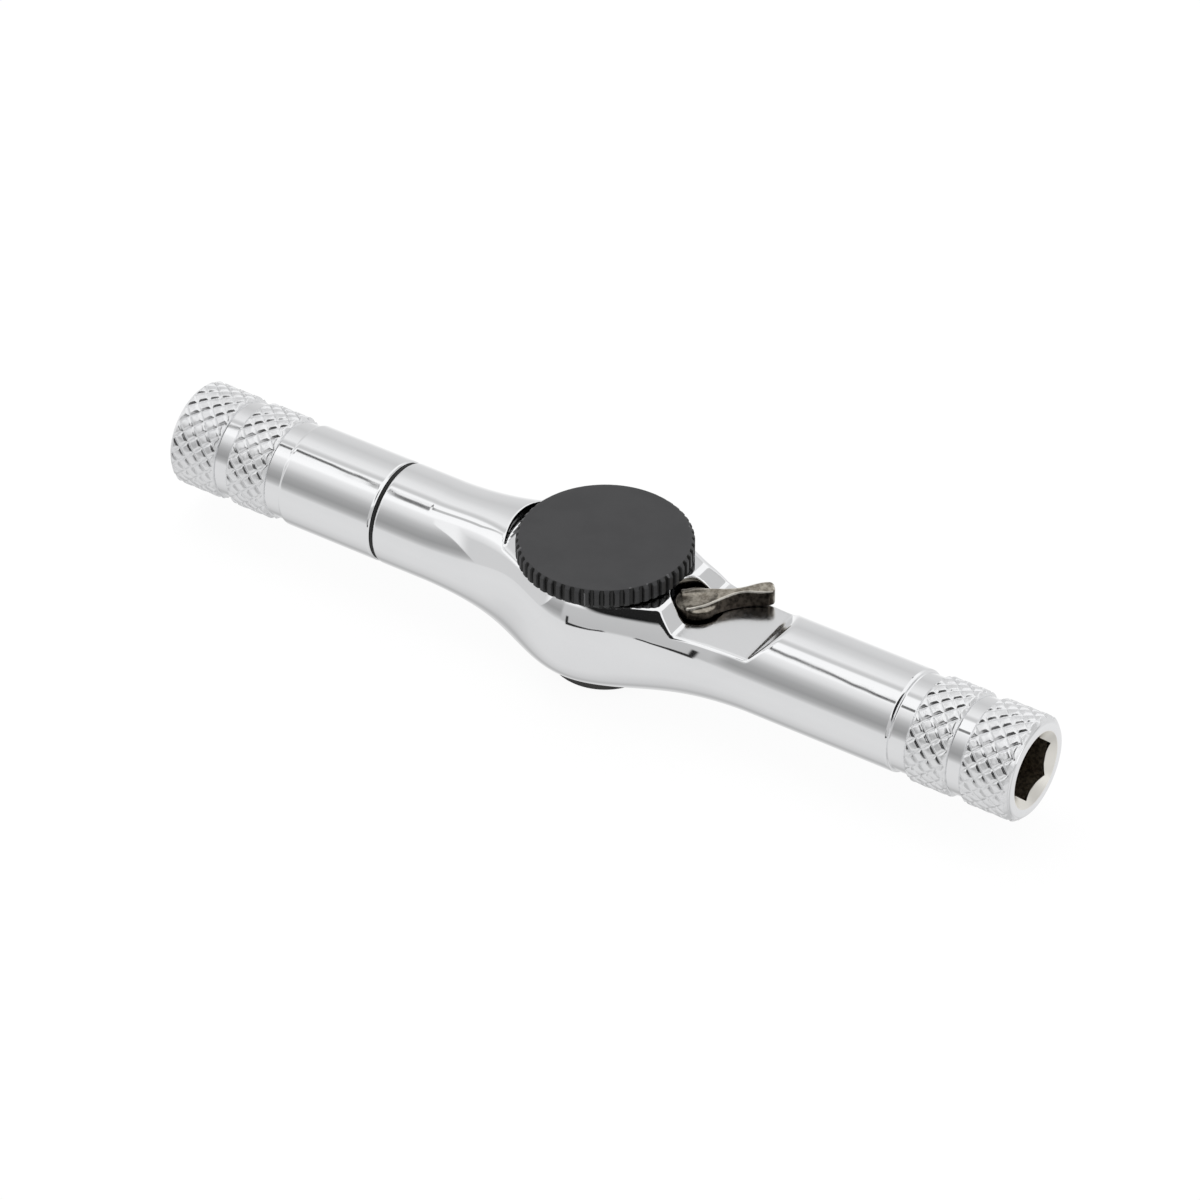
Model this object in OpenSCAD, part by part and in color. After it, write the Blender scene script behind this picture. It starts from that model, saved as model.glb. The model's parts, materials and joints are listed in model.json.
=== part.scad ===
// Ratcheting tap wrench with a pull-out handle extension.
// +X runs along the right arm, +Z is the top, and the origin is the centre of the drum's lower face.
// Heights marked "above the arms" are measured from the arms' own axis, which lies axis_z up.

/* [Arms] */
// Height of the arms' axis above the drum's lower face
axis_z = 8.2; // [8.2:0.1:10]
// Diameter of the smooth arms
arm_d = 11.4; // [11:0.1:13]
// Distance from the drive axis to the end of the smooth arm
smooth_end = 38.3; // [38:0.5:60]
// Width of the neck between the smooth arm and the knurl
neck_len = 2; // [1:0.1:4]
// Width of the inner knurled band
band_len = 5; // [3:0.1:10]
// Width of the groove between the two bands
groove_len = 1.6; // [1:0.1:4]
// Width of the outer knurled band
end_band_len = 5.95; // [4:0.05:10]
// Diameter over the knurl
knurl_d = 11.7; // [11.2:0.1:13.5]
// Diameter of the neck and of the groove
neck_d = 10.8; // [10.4:0.1:11]
// Chamfer at the edges of the bands
band_chamfer = 0.35; // [0.1:0.05:0.5]
// Chamfer round the end face
end_chamfer = 0.6; // [0.2:0.1:0.9]

/* [Hex sockets] */
// Distance across the flats of every hex socket
socket_af = 6.5; // [6.45:0.05:6.8]
// Depth of the hex in the arms' ends
socket_depth = 12; // [8:0.5:16]
// Diameter of a socket's bright mouth at its face
mouth_d = 8.6; // [7.8:0.1:9]
// Diameter where the mouth's cone ends inside the hex
mouth_inner_d = 6.6; // [6.5:0.1:7]
// Depth of the mouth's cone
mouth_depth = 0.75; // [0.4:0.05:1.2]
// Turn of the arm sockets' corners about the arm
socket_turn = 45; // [0:1:59]
// Diameter of the magnets under the sockets
magnet_d = 5.6; // [4:0.1:6]
// Thickness of the magnets
magnet_t = 2; // [1:0.1:3]

/* [Extension] */
// Distance from the drive axis to the stub's end face
seam_x = 26.1; // [24:0.1:30]
// Width of the joint line that the O-ring fills
seam_gap = 0.4; // [0.3:0.05:0.8]
// Width of the O-ring's section, from its bore to its rim
ring_w = 1.23; // [0.9:0.01:1.3]
// Depth of the O-ring's rim below the arm's surface
ring_recess = 0.12; // [0.05:0.01:0.2]
// Distance across the flats of the male hex shank
shank_af = 6.35; // [6.2:0.05:6.4]
// Length of the male shank
shank_len = 14; // [10:0.5:15]
// Depth of the stub's hex socket beyond the shank's end
shank_spare = 0.6; // [0.2:0.1:1]
// Distance from the stub's face to its clip groove
clip_inset = 5; // [3:0.5:8]

/* [Head] */
// Width of the head across the tool
head_w = 19.6; // [19:0.1:22]
// Depth of the head below the arms' axis
head_depth = 7.5; // [7.3:0.1:8]
// Height of the uncut crest above the arms' axis
head_crest = 7.6; // [7:0.1:9]
// Distance from the drive axis over which the head's height runs out
head_reach = 20.2; // [19:0.1:23]
// Distance over which the head's width runs out
width_reach = 26.6; // [25:0.1:28]
// How squarely the middle section is rounded, 2 being an ellipse
head_square = 2.8; // [2.4:0.1:3.2]
// Height of the disc's seat above the arms
seat_z = 5.4; // [5.2:0.1:5.6]
// Diameter of the round recess behind the disc
recess_d = 21.4; // [20:0.1:22]
// Distance from the drive axis to the end of the seat
seat_end = 9.8; // [9.5:0.1:10.5]
// Height of the lever's pad above the arms
pad_z = 3.3; // [3.2:0.1:3.6]
// Distance from the drive axis to the start of the pad
pad_start = 11.9; // [11.8:0.05:12.5]
// Distance from the drive axis to the end of the pad
pad_end = 20.5; // [20:0.1:22]
// Distance of the front and back bevels from the head's centre
bevel_dist = 9.85; // [9.6:0.05:10.4]
// Direction of a bevel's normal, seen from above
bevel_azimuth = 58.8; // [55:0.1:62]
// Tilt of a bevel's normal above level
bevel_tilt = 52.9; // [50:0.1:56]

/* [Drive] */
// Teeth on the drive gear
teeth = 48; // [36:12:60]
// Diameter over the gear's teeth
gear_d = 12.7; // [12.6:0.05:12.8]
// Depth of a tooth
tooth_depth = 0.35; // [0.25:0.05:0.4]
// Height of the gear's lower face above the arms
gear_floor = -4.5; // [-4.7:0.1:-4]
// Height of the gear's upper face above the arms
gear_top = 2.2; // [1.8:0.1:2.3]
// Diameter of the drum below the gear
drum_d = 11.8; // [11.2:0.1:11.8]
// Chamfer round the drum's lower edge
drum_chamfer = 0.2; // [0.1:0.1:0.8]
// Depth of the output hex
output_depth = 8; // [7:0.5:9]
// Diameter of the boss that carries the disc
boss_d = 7.2; // [6:0.1:7.6]
// Diameter of the spigot inside the disc
spigot_d = 5; // [3:0.1:5.6]
// Length of the spigot
spigot_len = 1.2; // [0.8:0.1:1.4]

/* [Thumb disc] */
// Diameter of the thumb disc
disc_d = 18.9; // [17:0.1:19]
// Thickness of the thumb disc
disc_t = 2.15; // [1.9:0.05:3]
// Gap between the seat and the disc
disc_gap = 0.25; // [0.2:0.05:0.4]
// Flutes round the disc
flutes = 55; // [45:5:75]
// Diameter of one flute
flute_d = 0.62; // [0.4:0.02:0.7]
// Chamfer round the disc's edges
disc_chamfer = 0.2; // [0.1:0.05:0.35]

/* [Cover] */
// Diameter of the cover plate's bore in the head
cover_bore_d = 13.8; // [13.6:0.1:13.8]
// Height of the cover plate's ledge above the arms
cover_z = 3.2; // [3.1:0.1:3.4]
// Thickness of the cover plate
cover_t = 0.9; // [0.6:0.05:0.95]
// Thickness of the snap ring
snap_t = 0.6; // [0.4:0.05:0.65]
// Depth of the snap ring's groove
snap_depth = 0.3; // [0.2:0.05:0.35]
// Opening of the snap ring
snap_open = 60; // [40:5:90]
// Thickness of the wave washer's strip
washer_t = 0.25; // [0.15:0.05:0.3]
// Height of the wave washer's waves
washer_wave = 0.5; // [0.3:0.05:0.5]
// Diameter of the dust seal's cross-section
seal_cs = 0.6; // [0.5:0.05:0.8]
// Height of the dust seal above the arms
seal_z = -5.9; // [-6:0.1:-5.6]

/* [Lever and pawl] */
// Distance from the drive axis to the lever's axis
lever_x = 11.5; // [11.3:0.1:11.9]
// Rest angle of the lever, off the arm
lever_rest = 42; // [34:1:45]
// Length of the lever from its axis
lever_len = 8.45; // [8:0.05:10]
// Diameter of the lever's round base
lever_base_d = 5.4; // [5:0.1:5.4]
// Height of the lever's round base
lever_base_h = 1.5; // [1:0.1:1.6]
// Height of the lever's thumb tip
lever_tip_h = 1.85; // [1.5:0.05:2]
// Width of the lever's thumb tip
lever_tip_w = 2.2; // [1.8:0.1:2.6]
// Width of the lever's waist
lever_waist_w = 1.2; // [1:0.1:1.6]
// Diameter of the lever's shaft
shaft_d = 2.8; // [2.6:0.1:2.8]
// Distance from the drive axis to the pawl's pin
pawl_x = 7.9; // [7.8:0.05:7.95]
// Diameter of the pawl's pin
pin_d = 1; // [0.8:0.05:1]
// Swing of the pawl to either side of the middle
pawl_swing = 4.5; // [3.5:0.5:5]
// Height of the pawl
pawl_h = 3.9; // [3:0.1:3.9]
// Half-width of the pawl
pawl_half_w = 4.8; // [4.4:0.1:5]
// Distance from the lever's axis to the plunger's tip
plunger_reach = 1.85; // [1.7:0.05:1.9]
// Diameter of the plunger and of its spring
plunger_d = 1.16; // [1:0.02:1.2]
// Diameter of the spring's wire
wire_d = 0.16; // [0.1:0.02:0.2]
// Turns of the spring
spring_turns = 4; // [3:1:6]

/* [Fits] */
// Radial clearance of the running fits
run_fit = 0.05; // [0.03:0.01:0.08]
// End play between faces that turn on each other
end_play = 0.1; // [0.05:0.05:0.15]
// Clearance round pieces that move in a pocket
free_gap = 0.3; // [0.2:0.05:0.35]
// Clearance of the pieces that are pressed or clipped in
seat_fit = 0.02; // [0.01:0.01:0.04]

/* [Hidden] */
$fn = 72;
eps = 0.01;
big = 40;

arm_r = arm_d / 2;
knurl_r = knurl_d / 2;
neck_r = neck_d / 2;
band_start = smooth_end + neck_len;
band_end = band_start + band_len;
end_band_start = band_end + groove_len;
reach = end_band_start + end_band_len;
edge_break = 0.2;

socket_corner_d = socket_af / cos(30);
shank_corner_d = shank_af / cos(30);
clip_t = 0.6;
clip_w = 0.5;
clip_clear = 0.05;
clip_groove_t = clip_t + 2 * end_play;
clip_inner_d = socket_corner_d + 2 * clip_clear;
clip_groove_d = clip_inner_d + 2 * clip_w;
clip_open = 70;
ring_outer_r = arm_r - ring_recess;
ring_inner_r = ring_outer_r - ring_w;
ring_crown = 0.1;

head_sections = 36;
head_sides = 48;
width_pow = 6.8;
depth_pow = 1.5;

gear_r = gear_d / 2;
drum_r = drum_d / 2;
chamber_r = gear_r + free_gap - run_fit;
chamber_floor = gear_floor - end_play;
disc_floor = seat_z + disc_gap;
cover_bore_r = cover_bore_d / 2;
snap_z = cover_z + cover_t + end_play;
seal_r = drum_r + run_fit + seal_cs / 2;
output_top = output_depth - axis_z;
output_clip_rise = 3;
output_clip_z = output_clip_rise - axis_z;
output_magnet_t = 1.3;
washer_inner_r = boss_d / 2 + free_gap;
washer_outer_r = gear_r - free_gap;
washer_steps = 48;
washer_waves = 3;

lever_floor = pad_z + end_play;
shaft_r = shaft_d / 2;
pawl_floor = -3;
pawl_top = pawl_floor + pawl_h;
tail_depth = 1.2;
shaft_foot = pawl_floor - tail_depth;
pocket_floor = pawl_floor - free_gap;
ring_room = 0.7;
pocket_top = pawl_top + ring_room;
lever_ring_t = 0.4;
lever_ring_z = pawl_top + (ring_room - lever_ring_t) / 2;
lever_ring_depth = 0.35;
lever_ring_w = 0.95;
lever_groove_r = shaft_r - lever_ring_depth;
lever_ring_r = lever_groove_r + lever_ring_w;
lever_seal_cs = 0.5;
lever_seal_z = (pocket_top + pad_z) / 2;
pin_r = pin_d / 2;
pin_foot = pawl_floor - tail_depth;
pin_head = seat_z - 0.2;
plunger_r = plunger_d / 2;
plunger_z = (pawl_floor + pawl_top) / 2;
plunger_len = 1.3;
plunger_hole_end = 0.9;
spring_r = plunger_r - wire_d / 2 - 0.04;

// How far a bulge has built up at x: 1 in the middle of the head, 0 at its reach.
function bulge(x, reach, power) = pow(cos(90 * min(1, abs(x) / reach)), power);
function between(low, high, share) = low + (high - low) * share;

// Point of the forged head at x and at angle a round the arms' axis: a superellipse section.
function head_point(x, a) =
    let(wide = bulge(x, width_reach, width_pow), tall = bulge(x, head_reach, depth_pow),
        w = between(arm_r, head_w / 2, wide),
        h = between(arm_r, a < 180 ? head_crest : head_depth, tall),
        n = between(2, head_square, wide),
        r = pow(pow(abs(cos(a)) / w, n) + pow(abs(sin(a)) / h, n), -1 / n))
    [x, r * cos(a), r * sin(a)];

// Outline of the gear, each radius grown by extra. A valley lies on the X axis.
function gear_outline(extra) =
    [for (i = [0 : 2 * teeth - 1])
        let(r = gear_r + extra - (i % 2 == 0 ? tooth_depth : 0), a = i * 180 / teeth)
        [r * cos(a), r * sin(a)]];

module on_arm_axis() { translate([0, 0, axis_z]) children(); }
module along_x() { rotate([0, 90, 0]) children(); }
module at_lever() { translate([lever_x, 0, 0]) rotate(lever_rest) children(); }
module ring(inner, outer, low, height) {
    translate([0, 0, low]) difference() {
        cylinder(h = height, r = outer);
        translate([0, 0, -eps]) cylinder(h = height + 2 * eps, r = inner);
    }
}
module o_ring(middle, section, z) {
    translate([0, 0, z]) rotate_extrude() translate([middle, 0]) circle(d = section, $fn = 24);
}
module open_ring(inner, outer, low, height, gap) {
    difference() {
        ring(inner, outer, low, height);
        translate([0, 0, low - eps]) linear_extrude(height + 2 * eps)
            polygon([[0, 0], 2 * outer * [cos(gap / 2), -sin(gap / 2)], 2 * outer * [cos(gap / 2), sin(gap / 2)]]);
    }
}

// Hex prism along Z from 0, d across the corners.
module hex(d, h) { cylinder(h = h, d = d, $fn = 6); }

// Smooth arm, neck, two plain bands that carry the knurl, and the chamfered end, from start to reach.
module arm_end(start) {
    step = arm_r - neck_r;
    rise = knurl_r - neck_r;
    along_x() rotate_extrude() polygon([
        [0, start], [arm_r - edge_break, start], [arm_r, start + edge_break],
        [arm_r, smooth_end - step], [neck_r, smooth_end],
        [neck_r, band_start], [knurl_r, band_start + min(rise, band_chamfer)],
        [knurl_r, band_end - min(rise, band_chamfer)], [neck_r, band_end],
        [neck_r, end_band_start], [knurl_r, end_band_start + min(rise, band_chamfer)],
        [knurl_r, reach - end_chamfer], [knurl_r - end_chamfer, reach], [0, reach]]);
}

// Hex socket, its bright mouth and the magnet's bore below it, cut into an arm's end.
module end_socket() {
    along_x() {
        translate([0, 0, reach - socket_depth]) rotate(socket_turn) hex(socket_corner_d, socket_depth + 1);
        translate([0, 0, reach - mouth_depth])
            cylinder(h = mouth_depth + eps, d1 = mouth_inner_d, d2 = mouth_d);
        translate([0, 0, reach - socket_depth - magnet_t - end_play])
            cylinder(h = magnet_t + end_play + eps, r = magnet_d / 2 + seat_fit);
    }
}
module end_magnet() {
    along_x() translate([0, 0, reach - socket_depth - magnet_t - end_play]) cylinder(h = magnet_t, d = magnet_d);
}

module forged_head() {
    points = [for (i = [0 : head_sections], j = [0 : head_sides - 1])
        head_point(head_reach * (2 * i / head_sections - 1), 360 * j / head_sides)];
    sides = [for (i = [0 : head_sections - 1], j = [0 : head_sides - 1], half = [0, 1])
        let(a = i * head_sides + j, b = i * head_sides + (j + 1) % head_sides)
        half == 0 ? [a, b + head_sides, b] : [a, a + head_sides, b + head_sides]];
    low_end = [for (j = [0 : head_sides - 1]) j];
    high_end = [for (j = [0 : head_sides - 1]) head_sections * head_sides + head_sides - 1 - j];
    polyhedron(points = points, faces = concat(sides, [low_end, high_end]), convexity = 4);
}

// Everything milled off the top of the head: the disc's seat, the ramp, the lever's pad and the bevels.
module top_cuts() {
    rise = arm_r + 1 - pad_z;
    rotate([90, 0, 0]) linear_extrude(big, center = true) polygon([
        [0, seat_z], [seat_end, seat_z], [pad_start, pad_z], [pad_end, pad_z],
        [pad_end + rise, pad_z + rise], [pad_end, big], [0, big]]);
    translate([0, 0, seat_z]) cylinder(h = big, d = recess_d, $fn = 144);
    for (side = [-1, 1]) intersection() {
        rotate([0, 0, side * bevel_azimuth]) rotate([0, 90 - bevel_tilt, 0])
            translate([0, 0, bevel_dist + big / 2]) cube(big, center = true);
        translate([0, -big / 2, pad_z]) cube([pad_start, big, big]);
    }
    translate([lever_x, 0, pad_z]) cylinder(h = big, r = lever_base_d / 2 + free_gap);
}

// Outline of the pawl in plan, grown by g. The gear's side is cut later.
function pawl_blank(g) =
    let(h = pawl_half_w + g, back = lever_x - plunger_reach + g)
    [[gear_r * 0.72 - g, -h], [gear_r + 0.3 + g / 2, -h], [pawl_x + 0.6 + g, -h + 1.2], [back, -1.9 - g],
     [back, 1.9 + g], [pawl_x + 0.6 + g, h - 1.2], [gear_r + 0.3 + g / 2, h], [gear_r * 0.72 - g, h]];

// Chamber, journal, cover seat and the pocket for the pawl and the lever's shaft.
module works_cuts() {
    translate([0, 0, chamber_floor]) cylinder(h = big, r = chamber_r);
    translate([0, 0, -big / 2]) cylinder(h = big / 2, r = drum_r + run_fit);
    translate([0, 0, cover_z]) cylinder(h = big, r = cover_bore_r);
    translate([0, 0, snap_z - end_play / 2]) cylinder(h = snap_t + end_play, r = cover_bore_r + snap_depth);
    translate([0, 0, seal_z - seal_cs / 2 - end_play / 2])
        cylinder(h = seal_cs + end_play, r = seal_r + seal_cs / 2 + seat_fit);
    translate([0, 0, pocket_floor]) {
        linear_extrude(pocket_top - pocket_floor) polygon(pawl_blank(free_gap));
        translate([lever_x, 0, 0]) cylinder(h = pocket_top - pocket_floor, r = lever_ring_r + free_gap);
    }
    translate([lever_x, 0, shaft_foot - end_play]) cylinder(h = big, r = shaft_r + run_fit);
    translate([pawl_x, 0, pin_foot]) cylinder(h = big, r = pin_r + seat_fit);
}

module stub_socket() {
    depth = shank_len + shank_spare;
    along_x() {
        translate([0, 0, -seam_x - 1]) rotate(socket_turn) hex(socket_corner_d, depth + 1);
        translate([0, 0, clip_inset - seam_x]) cylinder(h = clip_groove_t, d = clip_groove_d);
    }
}

module body() {
    color([0.82, 0.83, 0.85]) on_arm_axis() difference() {
        union() {
            forged_head();
            difference() {
                arm_end(head_reach - 1);
                along_x() translate([0, 0, head_reach - 2]) cylinder(h = 2, r = big);
            }
            along_x() rotate_extrude() polygon([[0, -head_reach], [arm_r, -head_reach],
                [arm_r, edge_break - seam_x], [arm_r - edge_break, -seam_x], [0, -seam_x]]);
        }
        top_cuts();
        works_cuts();
        stub_socket();
        end_socket();
    }
}

module handle_extension() {
    color([0.82, 0.83, 0.85]) on_arm_axis() {
        mirror([1, 0, 0]) difference() {
            arm_end(seam_x + seam_gap);
            end_socket();
        }
        along_x() {
            translate([0, 0, -seam_x - seam_gap]) cylinder(h = seam_gap - end_play / 2, r = ring_inner_r - seat_fit);
            translate([0, 0, -seam_x - seam_gap]) rotate(socket_turn) hex(shank_corner_d, shank_len + seam_gap);
        }
    }
}

module extension_o_ring() {
    color([0.05, 0.05, 0.05]) on_arm_axis() along_x() rotate_extrude() polygon([
        [ring_inner_r, -seam_x - seam_gap + seat_fit], [ring_outer_r - ring_crown, -seam_x - seam_gap + seat_fit],
        [ring_outer_r, -seam_x - seam_gap / 2], [ring_outer_r - ring_crown, -seam_x - seat_fit],
        [ring_inner_r, -seam_x - seat_fit]]);
}
module extension_magnet() { color([0.5, 0.5, 0.52]) on_arm_axis() mirror([1, 0, 0]) end_magnet(); }
module right_magnet() { color([0.5, 0.5, 0.52]) on_arm_axis() end_magnet(); }
module shank_clip() {
    color([0.6, 0.6, 0.62]) on_arm_axis() along_x()
        open_ring(clip_inner_d / 2, clip_groove_d / 2 - seat_fit, clip_inset - seam_x + end_play, clip_t, clip_open);
}

module drive_gear() {
    color([0.13, 0.13, 0.14]) on_arm_axis() difference() {
        union() {
            translate([0, 0, gear_floor]) linear_extrude(gear_top - gear_floor) polygon(gear_outline(0));
            translate([0, 0, -axis_z]) cylinder(h = drum_chamfer, r1 = drum_r - drum_chamfer, r2 = drum_r);
            translate([0, 0, drum_chamfer - axis_z]) cylinder(h = gear_floor + axis_z - drum_chamfer, r = drum_r);
            cylinder(h = disc_floor, d = boss_d);
            cylinder(h = disc_floor + spigot_len, d = spigot_d);
        }
        translate([0, 0, -axis_z - 1]) hex(socket_corner_d, output_depth + 1);
        translate([0, 0, -axis_z - eps])
            cylinder(h = mouth_depth, d1 = mouth_d, d2 = mouth_inner_d);
        translate([0, 0, output_clip_z - end_play]) cylinder(h = clip_groove_t, d = clip_groove_d);
        translate([0, 0, output_top - eps])
            cylinder(h = output_magnet_t + end_play + eps, r = magnet_d / 2 + seat_fit);
    }
}
module output_magnet() {
    color([0.5, 0.5, 0.52]) on_arm_axis()
        translate([0, 0, output_top + end_play]) cylinder(h = output_magnet_t, d = magnet_d);
}
module output_clip() {
    color([0.6, 0.6, 0.62]) on_arm_axis()
        open_ring(clip_inner_d / 2, clip_groove_d / 2 - seat_fit, output_clip_z, clip_t, clip_open);
}

module spinner_disc() {
    r = disc_d / 2;
    color([0.2, 0.2, 0.21]) on_arm_axis() translate([0, 0, disc_floor]) difference() {
        rotate_extrude($fn = 144) polygon([[0, 0], [r - disc_chamfer, 0], [r, disc_chamfer],
            [r, disc_t - disc_chamfer], [r - disc_chamfer, disc_t], [0, disc_t]]);
        for (i = [0 : flutes - 1])
            rotate(i * 360 / flutes) translate([r + flute_d * 0.12, 0, -eps])
                cylinder(h = disc_t + 2 * eps, d = flute_d, $fn = 24);
        translate([0, 0, -eps]) cylinder(h = spigot_len + end_play, r = spigot_d / 2 + seat_fit);
    }
}

module cover_plate() {
    color([0.45, 0.45, 0.47]) on_arm_axis()
        ring(boss_d / 2 + run_fit, cover_bore_r - run_fit, cover_z, cover_t);
}
module cover_snap_ring() {
    color([0.3, 0.3, 0.32]) on_arm_axis() rotate(180)
        open_ring(cover_bore_r - 0.8, cover_bore_r + snap_depth - seat_fit, snap_z, snap_t, snap_open);
}
module wave_washer() {
    middle = (gear_top + cover_z - washer_t) / 2;
    points = [for (i = [0 : washer_steps - 1], k = [0 : 3])
        let(a = 360 * i / washer_steps, r = k < 2 ? washer_inner_r : washer_outer_r,
            z = middle + washer_wave / 2 * sin(washer_waves * a) + (k == 1 || k == 2 ? washer_t : 0))
        [r * cos(a), r * sin(a), z]];
    faces = [for (i = [0 : washer_steps - 1], k = [0 : 3])
        let(a = 4 * i, b = 4 * ((i + 1) % washer_steps), next = (k + 1) % 4)
        [a + k, b + k, b + next, a + next]];
    color([0.55, 0.55, 0.57]) on_arm_axis() polyhedron(points = points, faces = faces, convexity = 6);
}
module drum_seal() { color([0.05, 0.05, 0.05]) on_arm_axis() o_ring(seal_r + seat_fit / 2, seal_cs, seal_z); }

module pawl() {
    color([0.35, 0.35, 0.37]) on_arm_axis()
        translate([pawl_x, 0, pawl_floor]) rotate(-pawl_swing) translate([-pawl_x, 0, 0])
            linear_extrude(pawl_h) difference() {
                polygon(pawl_blank(0));
                for (side = [-1, 0, 1])
                    translate([pawl_x, 0]) rotate(side * pawl_swing) translate([-pawl_x, 0])
                        polygon(gear_outline(end_play));
                translate([lever_x, 0]) circle(r = plunger_reach + end_play);
                translate([pawl_x, 0]) circle(r = pin_r + run_fit);
            }
}
module pawl_pin() {
    color([0.5, 0.5, 0.52]) on_arm_axis()
        translate([pawl_x, 0, pin_foot]) cylinder(h = pin_head - pin_foot, r = pin_r);
}

// Lever in its own frame: +X runs out along the arm of the lever.
module lever_arm() {
    waist = lever_len * 0.53;
    shoulder = lever_len - lever_tip_w * 0.8;
    side = [[1, lever_base_d * 0.38], [waist * 0.6, lever_waist_w * 0.8], [waist, lever_waist_w / 2],
        [shoulder, lever_tip_w / 2], [lever_len - 0.35, lever_tip_w / 2 - 0.2], [lever_len, 0.5]];
    far_side = [for (i = [len(side) - 1 : -1 : 0]) [side[i][0], -side[i][1]]];
    intersection() {
        linear_extrude(lever_floor + lever_tip_h) polygon(concat(side, far_side));
        rotate([90, 0, 0]) linear_extrude(big, center = true) polygon([
            [0, lever_floor], [0, lever_floor + lever_base_h], [waist, lever_floor + lever_base_h + 0.1],
            [shoulder, lever_floor + lever_tip_h], [lever_len - 0.2, lever_floor + lever_tip_h],
            [lever_len, lever_floor + lever_tip_h - 0.2], [lever_len, lever_floor]]);
    }
}
module reverse_lever() {
    color([0.33, 0.31, 0.28]) on_arm_axis() at_lever() difference() {
        union() {
            translate([0, 0, lever_floor]) cylinder(h = lever_base_h - 0.3, d = lever_base_d);
            translate([0, 0, lever_floor + lever_base_h - 0.3])
                cylinder(h = 0.3, d1 = lever_base_d, d2 = lever_base_d - 0.8);
            lever_arm();
            translate([0, 0, shaft_foot]) cylinder(h = lever_floor - shaft_foot + eps, r = shaft_r);
        }
        ring(lever_groove_r, lever_base_d, lever_ring_z, lever_ring_t + end_play);
        ring(shaft_r - 0.5, lever_base_d, lever_seal_z - lever_seal_cs / 2 - 0.05, lever_seal_cs + 0.1);
        translate([plunger_hole_end, 0, plunger_z]) rotate([0, -90, 0]) cylinder(h = big, r = plunger_r + run_fit);
    }
}
module lever_snap_ring() {
    color([0.3, 0.3, 0.32]) on_arm_axis() at_lever()
        open_ring(lever_groove_r + seat_fit, lever_ring_r, lever_ring_z + end_play / 2, lever_ring_t, snap_open);
}
module lever_o_ring() {
    color([0.05, 0.05, 0.05]) on_arm_axis() at_lever()
        o_ring(shaft_r + seat_fit - lever_seal_cs / 2, lever_seal_cs - seat_fit, lever_seal_z);
}
module detent_plunger() {
    color([0.6, 0.6, 0.62]) on_arm_axis() at_lever()
        translate([0, 0, plunger_z]) rotate([0, -90, 0]) rotate_extrude() intersection() {
            union() {
                translate([0, plunger_reach - plunger_len]) square([plunger_r, plunger_len - plunger_r]);
                translate([0, plunger_reach - plunger_r]) circle(plunger_r, $fn = 32);
            }
            translate([0, plunger_reach - plunger_len]) square(plunger_len);
        }
}
// Coil spring from the bottom of the cross hole to the plunger's back.
module detent_spring() {
    steps = 12;
    sides = 6;
    count = steps * spring_turns;
    length = plunger_hole_end + plunger_reach - plunger_len - wire_d - 2 * seat_fit;
    points = [for (i = [0 : count], k = [0 : sides - 1])
        let(a = 360 * i / steps, b = 360 * k / sides, r = spring_r + wire_d / 2 * cos(b))
        [r * cos(a), r * sin(a), length * i / count + wire_d / 2 * sin(b)]];
    sleeve = [for (i = [0 : count - 1], k = [0 : sides - 1])
        let(next = (k + 1) % sides)
        [i * sides + k, i * sides + next, (i + 1) * sides + next, (i + 1) * sides + k]];
    low_end = [for (k = [0 : sides - 1]) sides - 1 - k];
    high_end = [for (k = [0 : sides - 1]) count * sides + k];
    color([0.7, 0.7, 0.72]) on_arm_axis() at_lever()
        translate([plunger_hole_end - wire_d / 2 - seat_fit, 0, plunger_z]) rotate([0, -90, 0])
            polyhedron(points = points, faces = concat(sleeve, [low_end, high_end]), convexity = 8);
}

body();
handle_extension();
extension_o_ring();
extension_magnet();
shank_clip();
right_magnet();
drive_gear();
spinner_disc();
output_magnet();
output_clip();
cover_plate();
cover_snap_ring();
wave_washer();
drum_seal();
pawl();
pawl_pin();
reverse_lever();
lever_snap_ring();
lever_o_ring();
detent_plunger();
detent_spring();
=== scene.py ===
# %% [markdown]
# # A ratcheting tap wrench
# The tool is a polished forging with a round head and two slim arms. The left arm pulls out, the drum
# under the head turns with the black thumb disc on top, and a small cast lever sets the direction of
# the ratchet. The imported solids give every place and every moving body, and this script dresses them.
# %% Frame
import json
import math

import bmesh
import bpy
import numpy as np
from mathutils import Matrix, Vector


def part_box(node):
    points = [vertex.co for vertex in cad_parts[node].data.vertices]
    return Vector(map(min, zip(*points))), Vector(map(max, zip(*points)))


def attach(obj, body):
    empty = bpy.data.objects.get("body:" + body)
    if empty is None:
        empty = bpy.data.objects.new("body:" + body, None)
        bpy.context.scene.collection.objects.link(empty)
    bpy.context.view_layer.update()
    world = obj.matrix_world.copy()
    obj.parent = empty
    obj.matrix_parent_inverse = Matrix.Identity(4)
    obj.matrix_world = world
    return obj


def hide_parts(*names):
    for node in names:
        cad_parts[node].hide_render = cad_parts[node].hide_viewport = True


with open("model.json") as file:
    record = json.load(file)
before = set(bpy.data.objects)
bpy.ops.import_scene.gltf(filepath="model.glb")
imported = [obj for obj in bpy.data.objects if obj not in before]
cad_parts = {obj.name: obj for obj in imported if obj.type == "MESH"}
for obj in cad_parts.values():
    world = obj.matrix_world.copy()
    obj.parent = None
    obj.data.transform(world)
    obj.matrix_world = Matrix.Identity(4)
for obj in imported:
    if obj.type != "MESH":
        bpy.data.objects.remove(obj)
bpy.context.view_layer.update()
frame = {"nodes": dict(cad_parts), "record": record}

MM = 0.001
nodes = frame["nodes"]

# %% [markdown]
# ## Sizes
# The frame's own boxes give the tool's reach and the places of its parts. What a box can't tell, such as
# the radius of a fillet, is a named value in millimetres. Heights are kept above the arms' axis, because
# every section of the forging is drawn round that line.
# %% Sizes


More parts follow.
